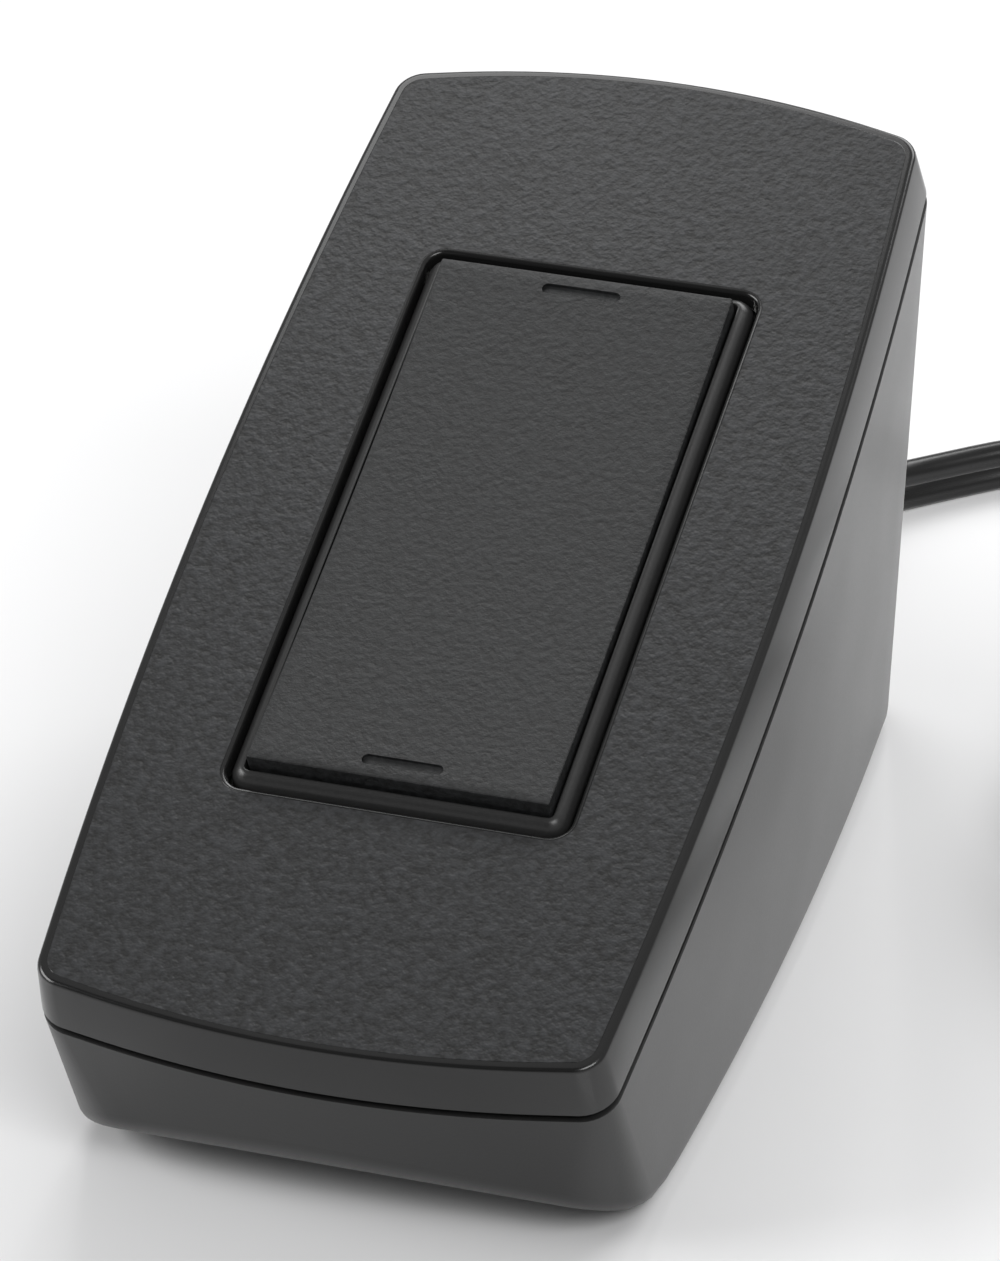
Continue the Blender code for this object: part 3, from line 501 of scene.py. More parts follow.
def cut(piece, tool, operation="DIFFERENCE"):
    """Cut a tool's shape out of a piece, or add it, and remove the tool."""
    only(piece)
    modifier = piece.modifiers.new("cut", "BOOLEAN")
    modifier.operation = operation
    modifier.object = tool
    bpy.ops.object.modifier_apply(modifier="cut")
    bpy.data.objects.remove(tool, do_unlink=True)


def rod(radius, long, place, turn=(0.0, 0.0, 0.0), sides=40):
    """A plain cylinder about its middle, to cut or add with."""
    bpy.ops.object.select_all(action="DESELECT")
    bpy.ops.mesh.primitive_cylinder_add(
        vertices=sides, radius=radius, depth=long, location=place, rotation=turn
    )
    return bpy.context.object


def upright(radius, low, high, place):
    """A standing cylinder between two heights."""
    return rod(radius, high - low, (place.x, place.y, (low + high) / 2))


# %% [markdown]
# ## Top cover
#
# The cover is a shallow tray turned upside down. Its outline bows outwards on all four sides. From the
# seam its side band leans in a little, rounds over in a radius of half a millimetre and runs flat to the
# rocker's opening, whose edge is broken by a finer radius. A sweep that goes up the band, over the top,
# down through the opening and back along the inside makes the whole wall in one closed body. Two rings
# close together, just inside the margin, keep the step from the smooth to the eroded plastic sharp.

# %% Top cover
SEAM_N = -6.0 * MM
SEAM_GAP = 0.75 * MM
SEAM = (27.2 * MM, 26.8 * MM, -57.9 * MM, 55.6 * MM)
SEAM_BOWS = (2.25 * MM, 3.6 * MM, 2.9 * MM)
SEAM_CORNER = 3.6 * MM
BAND_LEAN = 0.5 * MM
EDGE_ROUND = 0.5 * MM
MARGIN = 0.35 * MM
WALL = 2.0 * MM
OPENING = (33.3 * MM, 66.3 * MM, 2.0 * MM)
OPENING_ROUND = 0.35 * MM
BREAK = 0.15 * MM
BAND_END = 0.2 * MM
HOLD = 0.08 * MM
FADE = 0.06 * MM
TOP_RINGS = (3.0 * MM, 2.5 * MM)
INSIDE_RING = 2.0 * MM


def seam(inset=0.0):
    return outline(*SEAM, SEAM_BOWS, SEAM_CORNER, inset)


def quarter(steps):
    """Angles of a quarter turn, ends included."""
    return [math.pi / 2 * i / steps for i in range(steps + 1)]


def band_rings():
    """Up the side band and round the edge to the start of the flat top."""
    rings = [raised(seam(BREAK), SEAM_N), raised(seam(), SEAM_N + BREAK)]
    rings.append(raised(seam(BAND_LEAN * 0.9), -EDGE_ROUND - BAND_END))
    for a in quarter(7):
        inset = BAND_LEAN + EDGE_ROUND * (1 - math.cos(a))
        rings.append(raised(seam(inset), EDGE_ROUND * (math.sin(a) - 1)))
    return rings


def top_rings():
    """The smooth margin, held by a ring close to the rounded edge, and then the eroded top."""
    flat_from = BAND_LEAN + EDGE_ROUND
    smooth = [raised(seam(flat_from + inset), 0.0) for inset in (HOLD, MARGIN)]
    eroded = [raised(seam(flat_from + inset), 0.0) for inset in (MARGIN + FADE, TOP_RINGS[0])]
    for grow in (TOP_RINGS[1], OPENING_ROUND + HOLD + FADE):
        eroded.append(raised(rectangle(*OPENING, grow), 0.0))
    return smooth, eroded


def opening_rings():
    """Round the opening's edge, down through it and back along the inside to the seam."""
    rings = [raised(rectangle(*OPENING, OPENING_ROUND + HOLD), 0.0)]
    for a in quarter(4):
        grow = OPENING_ROUND * (1 - math.sin(a))
        rings.append(raised(rectangle(*OPENING, grow), OPENING_ROUND * (math.cos(a) - 1)))
    rings.append(raised(rectangle(*OPENING), -WALL))
    rings.append(raised(seam(WALL + INSIDE_RING), -WALL))
    rings.append(raised(seam(WALL), -WALL))
    rings.append(raised(seam(WALL), SEAM_N))
    return rings


def make_cover():
    smooth, eroded = top_rings()
    cover = swept("cover_shell", band_rings() + smooth + eroded + opening_rings(), ring_shaped=True)
    tree = KDTree(len(cover.data.vertices))
    for vertex in cover.data.vertices:
        tree.insert(vertex.co, vertex.index)
    tree.balance()
    texture = cover.data.attributes.new("eroded", "FLOAT", "POINT")
    for ring in eroded:
        for point in ring:
            texture.data[tree.find(point)[1]].value = 1.0
    finished(cover, COVER_PLASTIC, "housing", "cover_plastic", "top_cover")


make_cover()

# %% [markdown]
# ## Lower housing
#
# The housing's rim is the cover's outline and lies in a sloping plane, while its foot is a smaller outline
# level with the table, so each wall is a straight blend between the two. Under the front the bottom curls
# up like a toe. Every wall runs down until it meets that curve, and rounds in there. The sweep starts on
# the inner floor, climbs the inside, makes the tongue that the cover slips over, and comes down outside.

# %% Lower housing
FOOT_LINE = (27.2 * MM, 23.8 * MM, -47.6 * MM, 54.2 * MM)
FOOT_BOWS = (1.8 * MM, 1.9 * MM, 1.9 * MM)
FOOT_CORNER = 8.5 * MM
UNDER_Z = 0.5 * MM
UNDER_ROUND = 1.3 * MM
HOUSING_WALL = 2.2 * MM
FLOOR_TOP = 3.0 * MM
TOE_START = -34.0 * MM
TOE_RADIUS = 26.0 * MM
TONGUE_HIGH = 1.6 * MM
TONGUE_FOOT = 0.5 * MM
BOTTOM_INSET = 9.0 * MM
RIM_N = SEAM_N - SEAM_GAP
TONGUE_INNER = WALL + 1.3 * MM
TONGUE_OUTER = WALL + 0.3 * MM
WALL_SHARES = (BREAK / (30 * MM), 0.25, 0.5, 0.75, 0.985, 1.0)
BOTTOM_SHARES = (0.015, 0.15, 0.3, 0.45, 0.6, 0.8, 1.0)


def under(y):
    """Height of the underside along the housing: level, with a toe that curls up at the front."""
    back = max(TOE_START - y, 0.0)
    return UNDER_Z + TOE_RADIUS - math.sqrt(TOE_RADIUS**2 - back**2)


def inner_rings():
    """From the inner floor up the inside of the wall and over the tongue to the rim."""
    half_front, half_rear, front, rear = FOOT_LINE
    floor = outline(
        half_front, half_rear, front + BOTTOM_INSET, rear, FOOT_BOWS, FOOT_CORNER, HOUSING_WALL
    )
    return [
        [Vector((p.x, p.y, FLOOR_TOP)) for p in floor],
        raised(seam(TONGUE_INNER), RIM_N - TONGUE_FOOT),
        raised(seam(TONGUE_INNER), RIM_N + TONGUE_HIGH),
        raised(seam(TONGUE_OUTER), RIM_N + TONGUE_HIGH),
        raised(seam(TONGUE_OUTER), RIM_N),
        raised(seam(BREAK), RIM_N),
    ]


def wall_ends(rim, low):
    """Where each straight line down a wall meets the rounding above the curved underside."""
    ends = []
    for high, foot in zip(rim, low):
        foot = Vector((foot.x, foot.y, UNDER_Z + UNDER_ROUND))
        share = 1.0
        for _ in range(12):
            y = high.y + (foot.y - high.y) * share
            share = (high.z - under(y) - UNDER_ROUND) / (high.z - foot.z)
        ends.append(high.lerp(foot, share))
    return ends


def rounding_rings(rim, ends, low):
    """From the ends of the walls round the lower edge to the underside."""
    count = len(low)
    outward = []
    for i in range(count):
        along = low[(i + 1) % count] - low[i - 1]
        outward.append(Vector((along.y, -along.x)).normalized())
    rings = []
    for a in quarter(6)[1:]:
        ring = []
        for end, high, out in zip(ends, rim, outward):
            down = (end - high).normalized()
            x = end.x + UNDER_ROUND * (math.sin(a) * down.x - (1 - math.cos(a)) * out.x)
            y = end.y + UNDER_ROUND * (math.sin(a) * down.y - (1 - math.cos(a)) * out.y)
            ring.append(Vector((x, y, under(y) + UNDER_ROUND * (1 - math.sin(a)))))
        rings.append(ring)
    return rings


def bottom_rings(edge):
    """From the lower edge inwards along the underside."""
    inner = outline(*FOOT_LINE, FOOT_BOWS, FOOT_CORNER, BOTTOM_INSET)
    rings = []
    for share in BOTTOM_SHARES:
        ring = []
        for start, end in zip(edge, inner):
            x = start.x + (end.x - start.x) * share
            y = start.y + (end.y - start.y) * share
            ring.append(Vector((x, y, under(y))))
        rings.append(ring)
    return rings


def sweep_housing():
    rim = raised(seam(), RIM_N)
    low = outline(*FOOT_LINE, FOOT_BOWS, FOOT_CORNER)
    ends = wall_ends(rim, low)
    walls = [[a.lerp(b, share) for a, b in zip(rim, ends)] for share in WALL_SHARES]
    edge = rounding_rings(rim, ends, low)
    return swept("housing_shell", inner_rings() + walls + edge + bottom_rings(edge[-1]))


HOUSING = sweep_housing()
print("housing walls", len(HOUSING.data.vertices), "points")

# %% [markdown]
# ## Holes in the lower housing
#
# Four tubes stand on the inner floor for the case screws, each with a well for the screw's head and a
# bore for its shank. Round recesses take the feet, and a round hole in the rear wall takes the cord. The
# packed screws and feet give the places.

# %% Holes in the lower housing
CORD_EXIT = Vector((0.0, 50.6 * MM, 8.6 * MM))
CORD_HOLE = 4.6 * MM
CORD_HOLE_LONG = 16.0 * MM
CORD_HOLE_Y = 54.0 * MM
TUBE_RADIUS = 3.6 * MM
TUBE_BELOW_TIP = 6.0 * MM
WELL_RADIUS = 3.0 * MM
HEAD_HIGH = 2.0 * MM
BORE_RADIUS = 1.7 * MM
FOOT_RADIUS = 4.2 * MM
PLAY = 0.3 * MM
FOOT_RECESS = 1.4 * MM
SCREW_NODES = [name for name in NODES if name.startswith("case_screw")]
FOOT_NODES = [name for name in NODES if name.startswith("foot_")]


def middle(node):
    low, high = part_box(node)
    return (low + high) / 2


def pierce(housing):
    for name in SCREW_NODES:
        place = middle(name)
        head, tip = (corner.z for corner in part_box(name))
        cut(housing, upright(TUBE_RADIUS, FLOOR_TOP - MM, tip - TUBE_BELOW_TIP, place), "UNION")
        cut(housing, upright(WELL_RADIUS, -MM, head + HEAD_HIGH + PLAY, place))
        cut(housing, upright(BORE_RADIUS, head, tip, place))
    for name in FOOT_NODES:
        cut(housing, upright(FOOT_RADIUS + PLAY, -MM, FOOT_RECESS, middle(name)))
    hole_place = (CORD_EXIT.x, CORD_HOLE_Y, CORD_EXIT.z)
    cut(housing, rod(CORD_HOLE, CORD_HOLE_LONG, hole_place, turn=(math.pi / 2, 0.0, 0.0)))


pierce(HOUSING)
finished(HOUSING, BASE_PLASTIC, "housing", "base_plastic", "base_housing")

# %% [markdown]
# ## Rocker frame
#
# The frame is a narrow ring round the paddle. Its top is highest at the paddle and falls away to the
# opening in a curve that gets steeper, so one edge of it catches the light and the other sinks into
# shadow. It is swept as a ring of its own, from rounded rectangles.

# %% Rocker frame
FRAME_INNER = (29.7 * MM, 62.7 * MM, 0.5 * MM)
FRAME_WIDE = 1.4 * MM
FRAME_TOP = 0.4 * MM
FRAME_FALL = 1.3 * MM
FRAME_BOTTOM = -2.9 * MM
FRAME_LIP = 0.12 * MM
FRAME_STEPS = 8
FALL_POWER = 1.9


def make_frame():
    rings = [
        raised(rectangle(*FRAME_INNER), FRAME_BOTTOM),
        raised(rectangle(*FRAME_INNER), FRAME_TOP - FRAME_LIP),
        raised(rectangle(*FRAME_INNER, FRAME_LIP / 3), FRAME_TOP - FRAME_LIP / 4),
    ]
    for i in range(FRAME_STEPS + 1):
        share = i / FRAME_STEPS
        grow = FRAME_LIP + (FRAME_WIDE - FRAME_LIP) * share
        rings.append(raised(rectangle(*FRAME_INNER, grow), FRAME_TOP - FRAME_FALL * share**FALL_POWER))
    rings.append(raised(rectangle(*FRAME_INNER, FRAME_WIDE), FRAME_BOTTOM))
    ring = swept("rocker_surround", rings, ring_shaped=True)
    finished(ring, FRAME_PLASTIC, "housing", "rocker_plastic", "rocker_frame")


make_frame()

# %% [markdown]
# ## Rocker paddle
#
# The paddle is a thin plate that dips in the middle of its length and rises towards both ends. A grid
# gives the plate enough points to follow the dip. Its border is extruded down into a skirt, and the edge
# between them is bevelled finely.

# %% Rocker paddle
PADDLE = (29.1 * MM, 61.8 * MM)
PADDLE_MID = 1.0 * MM
PADDLE_RISE = 0.8 * MM
PADDLE_SKIRT = -1.6 * MM
PADDLE_GRID = (20, 56)
RIM_ROUND = 0.22 * MM
TOUCHING = 0.01 * MM


def dished(v):
    """Height of the paddle's top above the deck."""
    return PADDLE_MID + PADDLE_RISE * (2.0 * v / PADDLE[1]) ** 2


def paddle_block():
    """A dished grid with a skirt, closed below. It is modelled flat, with the deck as its floor."""
    bpy.ops.object.select_all(action="DESELECT")
    bpy.ops.mesh.primitive_grid_add(x_subdivisions=PADDLE_GRID[0], y_subdivisions=PADDLE_GRID[1], size=1.0)
    paddle = bpy.context.object
    paddle.name = "paddle_cap"
    paddle.scale = (PADDLE[0], PADDLE[1], 1.0)
    bpy.ops.object.transform_apply(scale=True)
    for vertex in paddle.data.vertices:
        vertex.co.z = dished(vertex.co.y)
    bpy.ops.object.mode_set(mode="EDIT")
    bpy.ops.mesh.select_all(action="SELECT")
    bpy.ops.mesh.region_to_loop()
    bpy.ops.mesh.extrude_edges_move()
    mesh = bmesh.from_edit_mesh(paddle.data)
    for vertex in mesh.verts:
        if vertex.select:
            vertex.co.z = PADDLE_SKIRT
    bmesh.update_edit_mesh(paddle.data)
    bpy.ops.mesh.edge_face_add()
    bpy.ops.mesh.select_all(action="SELECT")
    bpy.ops.mesh.normals_make_consistent(inside=False)
    bpy.ops.object.mode_set(mode="OBJECT")
    return paddle


def lies_on(edge, axis, half):
    """Whether both ends of an edge are on one of the two sides that lie half from the middle."""
    return all(abs(abs(vertex.co[axis]) - half) < TOUCHING for vertex in edge.verts)


def round_rim(paddle):
    """Bevel the four upright corners and the edge between the top and the skirt."""
    only(paddle)
    bpy.ops.object.mode_set(mode="EDIT")
    bpy.ops.mesh.select_mode(type="EDGE")
    bpy.ops.mesh.select_all(action="DESELECT")
    mesh = bmesh.from_edit_mesh(paddle.data)
    for edge in mesh.edges:
        on_side = lies_on(edge, 0, PADDLE[0] / 2)
        on_end = lies_on(edge, 1, PADDLE[1] / 2)
        above_skirt = min(vertex.co.z for vertex in edge.verts) > 0.0
        edge.select = (on_side and on_end) or ((on_side or on_end) and above_skirt)
    bpy.ops.mesh.bevel(offset=RIM_ROUND, segments=3)
    bpy.ops.object.mode_set(mode="OBJECT")


PADDLE_CAP = paddle_block()
round_rim(PADDLE_CAP)
print("paddle dips", round(PADDLE_RISE / MM, 2), "mm in the middle")

# %% [markdown]
# ## The paddle's marks
#
# Each mark is a pill-shaped recess. Its cutter is a block whose four upright edges are rounded until the
# ends are half circles. The paddle and both cutters are then laid on the deck and cut.

# %% The paddle's marks
MARK = (7.8 * MM, 1.2 * MM)
MARK_V = 29.0 * MM
MARK_DEEP = 0.35 * MM
MARK_TOOL_HIGH = 2.0 * MM


def make_mark(v):
    """A pill-shaped cutter at one end of the paddle."""
    bpy.ops.object.select_all(action="DESELECT")
    bpy.ops.mesh.primitive_cube_add(size=1.0)
    pill = bpy.context.object
    pill.scale = (*MARK, MARK_TOOL_HIGH)
    bpy.ops.object.transform_apply(scale=True)
    bpy.ops.object.mode_set(mode="EDIT")
    bpy.ops.mesh.select_mode(type="EDGE")
    bpy.ops.mesh.select_all(action="DESELECT")
    mesh = bmesh.from_edit_mesh(pill.data)
    for edge in mesh.edges:
        first, second = edge.verts
        edge.select = abs(first.co.z - second.co.z) > MM
    bpy.ops.mesh.bevel(offset=MARK[1] / 2 - TOUCHING, segments=8)
    bpy.ops.object.mode_set(mode="OBJECT")
    floor = dished(v) - MARK_DEEP
    for vertex in pill.data.vertices:
        x, y, z = vertex.co
        vertex.co = on_deck(x, y + v, z + MARK_TOOL_HIGH / 2 + floor)
    return pill


for vertex in PADDLE_CAP.data.vertices:
    vertex.co = on_deck(*vertex.co)
for v in (-MARK_V, MARK_V):
    cut(PADDLE_CAP, make_mark(v))
finished(PADDLE_CAP, ROCKER_PLASTIC, "rocker", "rocker_plastic", "rocker_paddle", smooth=25.0)

# %% [markdown]
# ## The cord's way
#
# The cord is flat, with two cores side by side, so it bends easily in only one direction. On a table it
# stands on edge where it curves, and it is wound on edge too, like a tape. Its way is a list of places
# from the rear wall to the coil, then a spiral that runs in along the table and out again on top of
# itself, and a list from the coil to the plug. A smooth curve through all of them is its middle line.

# %% The cord's middle line
ROUTE_OUT = [
    (0.0, 56.0, 8.6), (0.0, 60.0, 8.5), (0.4, 64.0, 8.1), (1.4, 68.5, 7.4), (2.9, 73.0, 6.5),
    (4.9, 77.5, 5.5), (7.4, 82.0, 4.5), (10.2, 86.3, 3.6), (12.6, 89.6, 3.1), (14.7, 92.0, 2.85),
    (18.5, 95.5, 2.75), (22.5, 98.8, 2.75), (27.6, 102.0, 2.75), (33.4, 103.5, 2.75),
    (40.0, 103.8, 2.75), (52.0, 102.8, 2.75), (63.6, 99.6, 2.75), (74.5, 94.6, 2.75),
    (84.4, 87.7, 2.8), (92.5, 79.6, 2.95), (98.5, 71.4, 3.15),
]
ROUTE_OFF_COIL = [(107.3, 21.5, 9.05)]
ROUTE_BACK = [
    (104.5, 14.0, 8.9), (102.8, 8.5, 8.1), (101.3, 3.0, 7.0), (100.1, -2.5, 6.0), (99.4, -8.0, 5.3),
    (99.1, -12.0, 5.05), (99.0, -14.7, 5.0), (99.0, -18.0, 5.0),
]
COIL_OUTER = 34.0 * MM
COIL_START = math.radians(30.0)
COIL_PITCH = 2.85 * MM
COIL_LAYER = 5.6 * MM
COIL_BOTTOM = 3.45 * MM
TURNS_IN = 4.45
TURNS_UP = 0.25
TURNS_OUT = 4.44
TURN_STEPS = 60
CORD_STEP = 2.5 * MM
KNOT_STEPS = 10


def millimetres(points):
    return [Vector(point) * MM for point in points]


def eased(share):
    """A smooth step from 0 to 1, held at both ends."""
    share = min(max(share, 0.0), 1.0)
    return share * share * (3.0 - 2.0 * share)


def coil_points():
    """Inwards on the table, up a layer, and outwards again, clockwise from above."""
    centre = middle("cord_coil")
    turns = TURNS_IN + TURNS_UP + TURNS_OUT
    steps = int(turns * TURN_STEPS)
    points = []
    for i in range(steps + 1):
        t = turns * i / steps
        climb = eased((t - TURNS_IN) / TURNS_UP)
        inward = min(t, TURNS_IN + TURNS_UP)
        outward = max(t - TURNS_IN - TURNS_UP, 0.0)
        radius = COIL_OUTER - COIL_PITCH * (inward - outward)
        angle = COIL_START - 2 * math.pi * t
        points.append(Vector((
            centre.x + radius * math.cos(angle),
            centre.y + radius * math.sin(angle),
            COIL_BOTTOM + COIL_LAYER * climb,
        )))
    return points


def smooth_line(knots, step):
    """Points about a step apart on a smooth curve through the knots."""
    fine = []
    for i in range(len(knots) - 1):
        before, start = knots[max(i - 1, 0)], knots[i]
        end, after = knots[i + 1], knots[min(i + 2, len(knots) - 1)]
        for k in range(KNOT_STEPS):
            t = k / KNOT_STEPS
            a = 2.0 * start
            b = (end - before) * t
            c = (2.0 * before - 5.0 * start + 4.0 * end - after) * t**2
            d = (3.0 * start - before - 3.0 * end + after) * t**3
            fine.append(0.5 * (a + b + c + d))
    fine.append(knots[-1])
    length = sum((b - a).length for a, b in zip(fine, fine[1:]))
    pieces = round(length / step)
    want, walked = length / pieces, 0.0
    line = [fine[0]]
    for a, b in zip(fine, fine[1:]):
        span = (b - a).length
        while walked + span >= want * len(line) and len(line) < pieces:
            line.append(a.lerp(b, (want * len(line) - walked) / span))
        walked += span
    line.append(fine[-1])
    return line


KNOTS = millimetres(ROUTE_OUT) + coil_points() + millimetres(ROUTE_OFF_COIL + ROUTE_BACK)
WHOLE_LINE = smooth_line(KNOTS, CORD_STEP)
print("middle line", len(WHOLE_LINE), "points")

# %% [markdown]
# ## Cord
#
# Two round lobes with a web between them are carried along the middle line. The roll angle says how far
# the cord's width is turned out of the level: a right angle almost everywhere, because it stands on edge,
# and none at the plug, whose two blades lie side by side.

# %% Cord
LOBE_OFFSET = 1.32 * MM
LOBE_RADIUS = 1.38 * MM
LOBE_ARC = math.radians(300.0)
LOBE_STEPS = 10
WEB_HALF = 0.56 * MM
RELIEF_LONG = 22.0 * MM
INSIDE_RELIEF = 3.0 * MM
TWIST_LONG = 42.0 * MM
TWIST_END = 6.0 * MM
EXIT_LEAN = math.radians(12.0)
LEAN_LONG = 60.0 * MM
UP = Vector((0.0, 0.0, 1.0))


def cord_section():
    """Outline of the cord across its length: width first, thickness second."""
    points = []
    for side in (1, -1):
        for i in range(LOBE_STEPS + 1):
            angle = LOBE_ARC * (i / LOBE_STEPS - 0.5)
            wide = side * (LOBE_OFFSET + LOBE_RADIUS * math.cos(angle))
            points.append((wide, side * LOBE_RADIUS * math.sin(angle)))
        points.append((0.0, side * WEB_HALF))
    return points


def frame_at(line, i):
    """Two directions square to a line at one of its points: level to the left, and up."""
    ahead = (line[min(i + 1, len(line) - 1)] - line[max(i - 1, 0)]).normalized()
    level = UP.cross(ahead).normalized()
    return level, ahead.cross(level)


def roll_at(gone, total):
    """How far the cord's width is turned up: leaning at the wall, then on edge, flat at the plug."""
    flat = eased((gone - total + TWIST_LONG) / (TWIST_LONG - TWIST_END))
    lean = EXIT_LEAN * (1.0 - eased(gone / LEAN_LONG))
    return math.pi / 2 * (1.0 - flat) - lean


def carried(section, line):
    """The section's points at every point of the line, turned by the roll."""
    places = []
    total = CORD_STEP * (len(line) - 1)
    for i, point in enumerate(line):
        level, above = frame_at(line, i)
        roll = roll_at(CORD_STEP * i, total)
        wide = level * math.cos(roll) + above * math.sin(roll)
        thick = above * math.cos(roll) - level * math.sin(roll)
        places += [point + wide * w + thick * t for w, t in section]
    return places


def tube_faces(stations, count):
    """The quads between neighbouring stations, and a cap at each end."""
    faces = []
    for i in range(stations - 1):
        here, there = i * count, (i + 1) * count
        for k in range(count):
            after = (k + 1) % count
            faces.append((here + k, here + after, there + after, there + k))
    last = (stations - 1) * count
    faces.append(tuple(reversed(range(count))))
    faces.append(tuple(range(last, last + count)))
    return faces


# %% [markdown]
# The finish needs to know how far round and how far along the cord each place is. Both distances go into
# a UV map of their own, in metres. The first stretch of the line lies inside the wall and the strain
# relief, where nothing is seen, so the drawn cord starts just before the sleeve's tip.

# %% The cord's mesh and its map


def add_along_map(mesh, section):
    around = [0.0]
    for a, b in zip(section, section[1:] + section[:1]):
        around.append(around[-1] + math.dist(a, b))
    along = mesh.uv_layers.new(name="along")
    for face in mesh.polygons:
        if len(face.vertices) == 4:
            i, k = divmod(face.index, len(section))
            corners = ((i, k), (i, k + 1), (i + 1, k + 1), (i + 1, k))
            for loop, (station, step) in zip(face.loop_indices, corners):
                along.data[loop].uv = (around[step], CORD_STEP * station)


def make_cord(line):
    section = cord_section()
    mesh = bpy.data.meshes.new("mains_cord")
    mesh.from_pydata(carried(section, line), [], tube_faces(len(line), len(section)))
    add_along_map(mesh, section)
    cord = bpy.data.objects.new("mains_cord", mesh)
    bpy.context.scene.collection.objects.link(cord)
    only(cord)
    bpy.ops.object.mode_set(mode="EDIT")
    bpy.ops.mesh.select_all(action="SELECT")
    bpy.ops.mesh.normals_make_consistent(inside=False)
    bpy.ops.object.mode_set(mode="OBJECT")
    return finished(
        cord, CORD_VINYL, "housing", "cord_vinyl", "cord_run", "cord_tail", "cord_coil", smooth=40.0
    )


CORD_LINE = WHOLE_LINE[int((RELIEF_LONG - INSIDE_RELIEF) / CORD_STEP):]
MAINS_CORD = make_cord(CORD_LINE)

# %% [markdown]
# ## Strain relief
#
# A soft sleeve grips the cord where it leaves the rear wall and lets it bend only gently. Slots across it
# leave a row of ribs. It follows the cord's first stretch, and it changes from round at the wall to an
# upright oval at its tip, as the cord inside it is upright.

# %% Strain relief
RELIEF_FLANGE = 5.2 * MM
RELIEF_ROOT = 4.3 * MM
RELIEF_TIP = (3.5 * MM, 2.5 * MM)
TIP_SCALE = 0.9
FLANGE_FROM = 50.6 * MM
FLANGE_TO = 52.3 * MM
RIBS_FROM = 4.0 * MM
RIB_COUNT = 5
RIB_PITCH = 3.1 * MM
GROOVE_WALLS = (0.28 * MM, 0.34 * MM, 0.84 * MM, 0.90 * MM)
GROOVE_DEEP = 0.8 * MM
SLEEVE_STEP = 0.3 * MM
SLEEVE_SIDES = 32


def circle(sides):
    """Cosine and sine of evenly spaced angles."""
    angles = [2 * math.pi * k / sides for k in range(sides)]
    return [(math.cos(angle), math.sin(angle)) for angle in angles]


def oval(centre, across, above, broad, tall):
    return [centre + across * (broad * x) + above * (tall * y) for x, y in circle(SLEEVE_SIDES)]


def sleeve_stations():
    """Distances along the sleeve, each with the depth of the groove there and the sleeve's scale."""
    stations = [(0.0, 0.0, 1.0)]
    first, second, third, fourth = GROOVE_WALLS
    for k in range(RIB_COUNT):
        start = RIBS_FROM + RIB_PITCH * k
        stations += [(start, 0.0, 1.0), (start + first, 0.0, 1.0), (start + second, GROOVE_DEEP, 1.0)]
        stations += [(start + third, GROOVE_DEEP, 1.0), (start + fourth, 0.0, 1.0)]
    stations += [(RELIEF_LONG - 0.5 * MM, 0.0, 1.0), (RELIEF_LONG, 0.0, TIP_SCALE)]
    return stations


def make_relief():
    way = smooth_line(millimetres(ROUTE_OUT), SLEEVE_STEP)
    rings = []
    for y, radius in ((FLANGE_FROM, RELIEF_FLANGE), (FLANGE_TO, RELIEF_FLANGE), (FLANGE_TO, RELIEF_ROOT)):
        rings.append(oval(Vector((0.0, y, CORD_EXIT.z)), ACROSS, UP, radius, radius))
    for gone, deep, scale in sleeve_stations():
        i = round(gone / SLEEVE_STEP)
        level, above = frame_at(way, i)
        share = gone / RELIEF_LONG
        tall = RELIEF_ROOT + (RELIEF_TIP[0] - RELIEF_ROOT) * share
        broad = RELIEF_ROOT + (RELIEF_TIP[1] - RELIEF_ROOT) * share
        rings.append(oval(way[i], -level, above, broad * scale - deep, tall * scale - deep))
    return finished(swept("relief_sleeve", rings), PLUG_VINYL, "housing", "cord_vinyl", "strain_relief")


RELIEF_SLEEVE = make_relief()

# %% [markdown]
# ## Plug
#
# The plug is moulded round the cord's end: a neck, shoulders that widen in a curve, and a body with a flat
# face for the two blades. Its sections are given in millimetres: the place along the plug, half the width
# and half the thickness. Grooves for the fingers run across both of its broad sides. Each blade is flat
# brass with a chamfered tip, so that it finds its slot, and a hole near the tip.

# %% Plug
NECK_SECTIONS = [
    (0.0, 3.3, 2.2), (-0.6, 3.9, 2.8), (-3.0, 4.2, 3.1), (-6.0, 4.9, 3.6),
    (-8.0, 6.2, 4.1), (-9.6, 8.4, 4.5), (-11.4, 10.4, 4.8), (-14.0, 11.7, 4.95),
    (-18.0, 12.4, 5.0), (-23.2, 12.5, 5.0), (-23.8, 12.2, 4.7), (-24.0, 11.8, 4.3),
]
GRIP_PLACES = (-13.0, -15.0, -17.0, -19.0, -21.0)
GRIP_RADIUS = 0.5 * MM
GRIP_LONG = 11.0 * MM
GRIP_AXIS = 5.15 * MM
SIDEWAYS = (0.0, math.pi / 2, 0.0)
BLADE_ROOT = 0.6 * MM
BLADE_CHAMFER = 0.5 * MM
BLADE_HOLE = 1.6 * MM
BLADE_HOLE_FROM_TIP = 3.4 * MM


def make_plug():
    low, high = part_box("plug_body")
    centre = (low + high) / 2
    rings = []
    for y, half_wide, half_high in NECK_SECTIONS:
        wide, tall = half_wide * MM, half_high * MM
        plan = outline(wide, wide, -tall, tall, STRAIGHT, 0.8 * tall, corner_steps=6, side_steps=6)
        rings.append([Vector((centre.x + p.x, high.y + y * MM, centre.z + p.y)) for p in plan])
    plug = swept("plug_shell", rings)
    for y in GRIP_PLACES:
        for side in (-1, 1):
            place = (centre.x, high.y + y * MM, centre.z + side * GRIP_AXIS)
            cut(plug, rod(GRIP_RADIUS, GRIP_LONG, place, SIDEWAYS, sides=24))
    return finished(plug, PLUG_VINYL, "housing", "cord_vinyl", "plug_body")


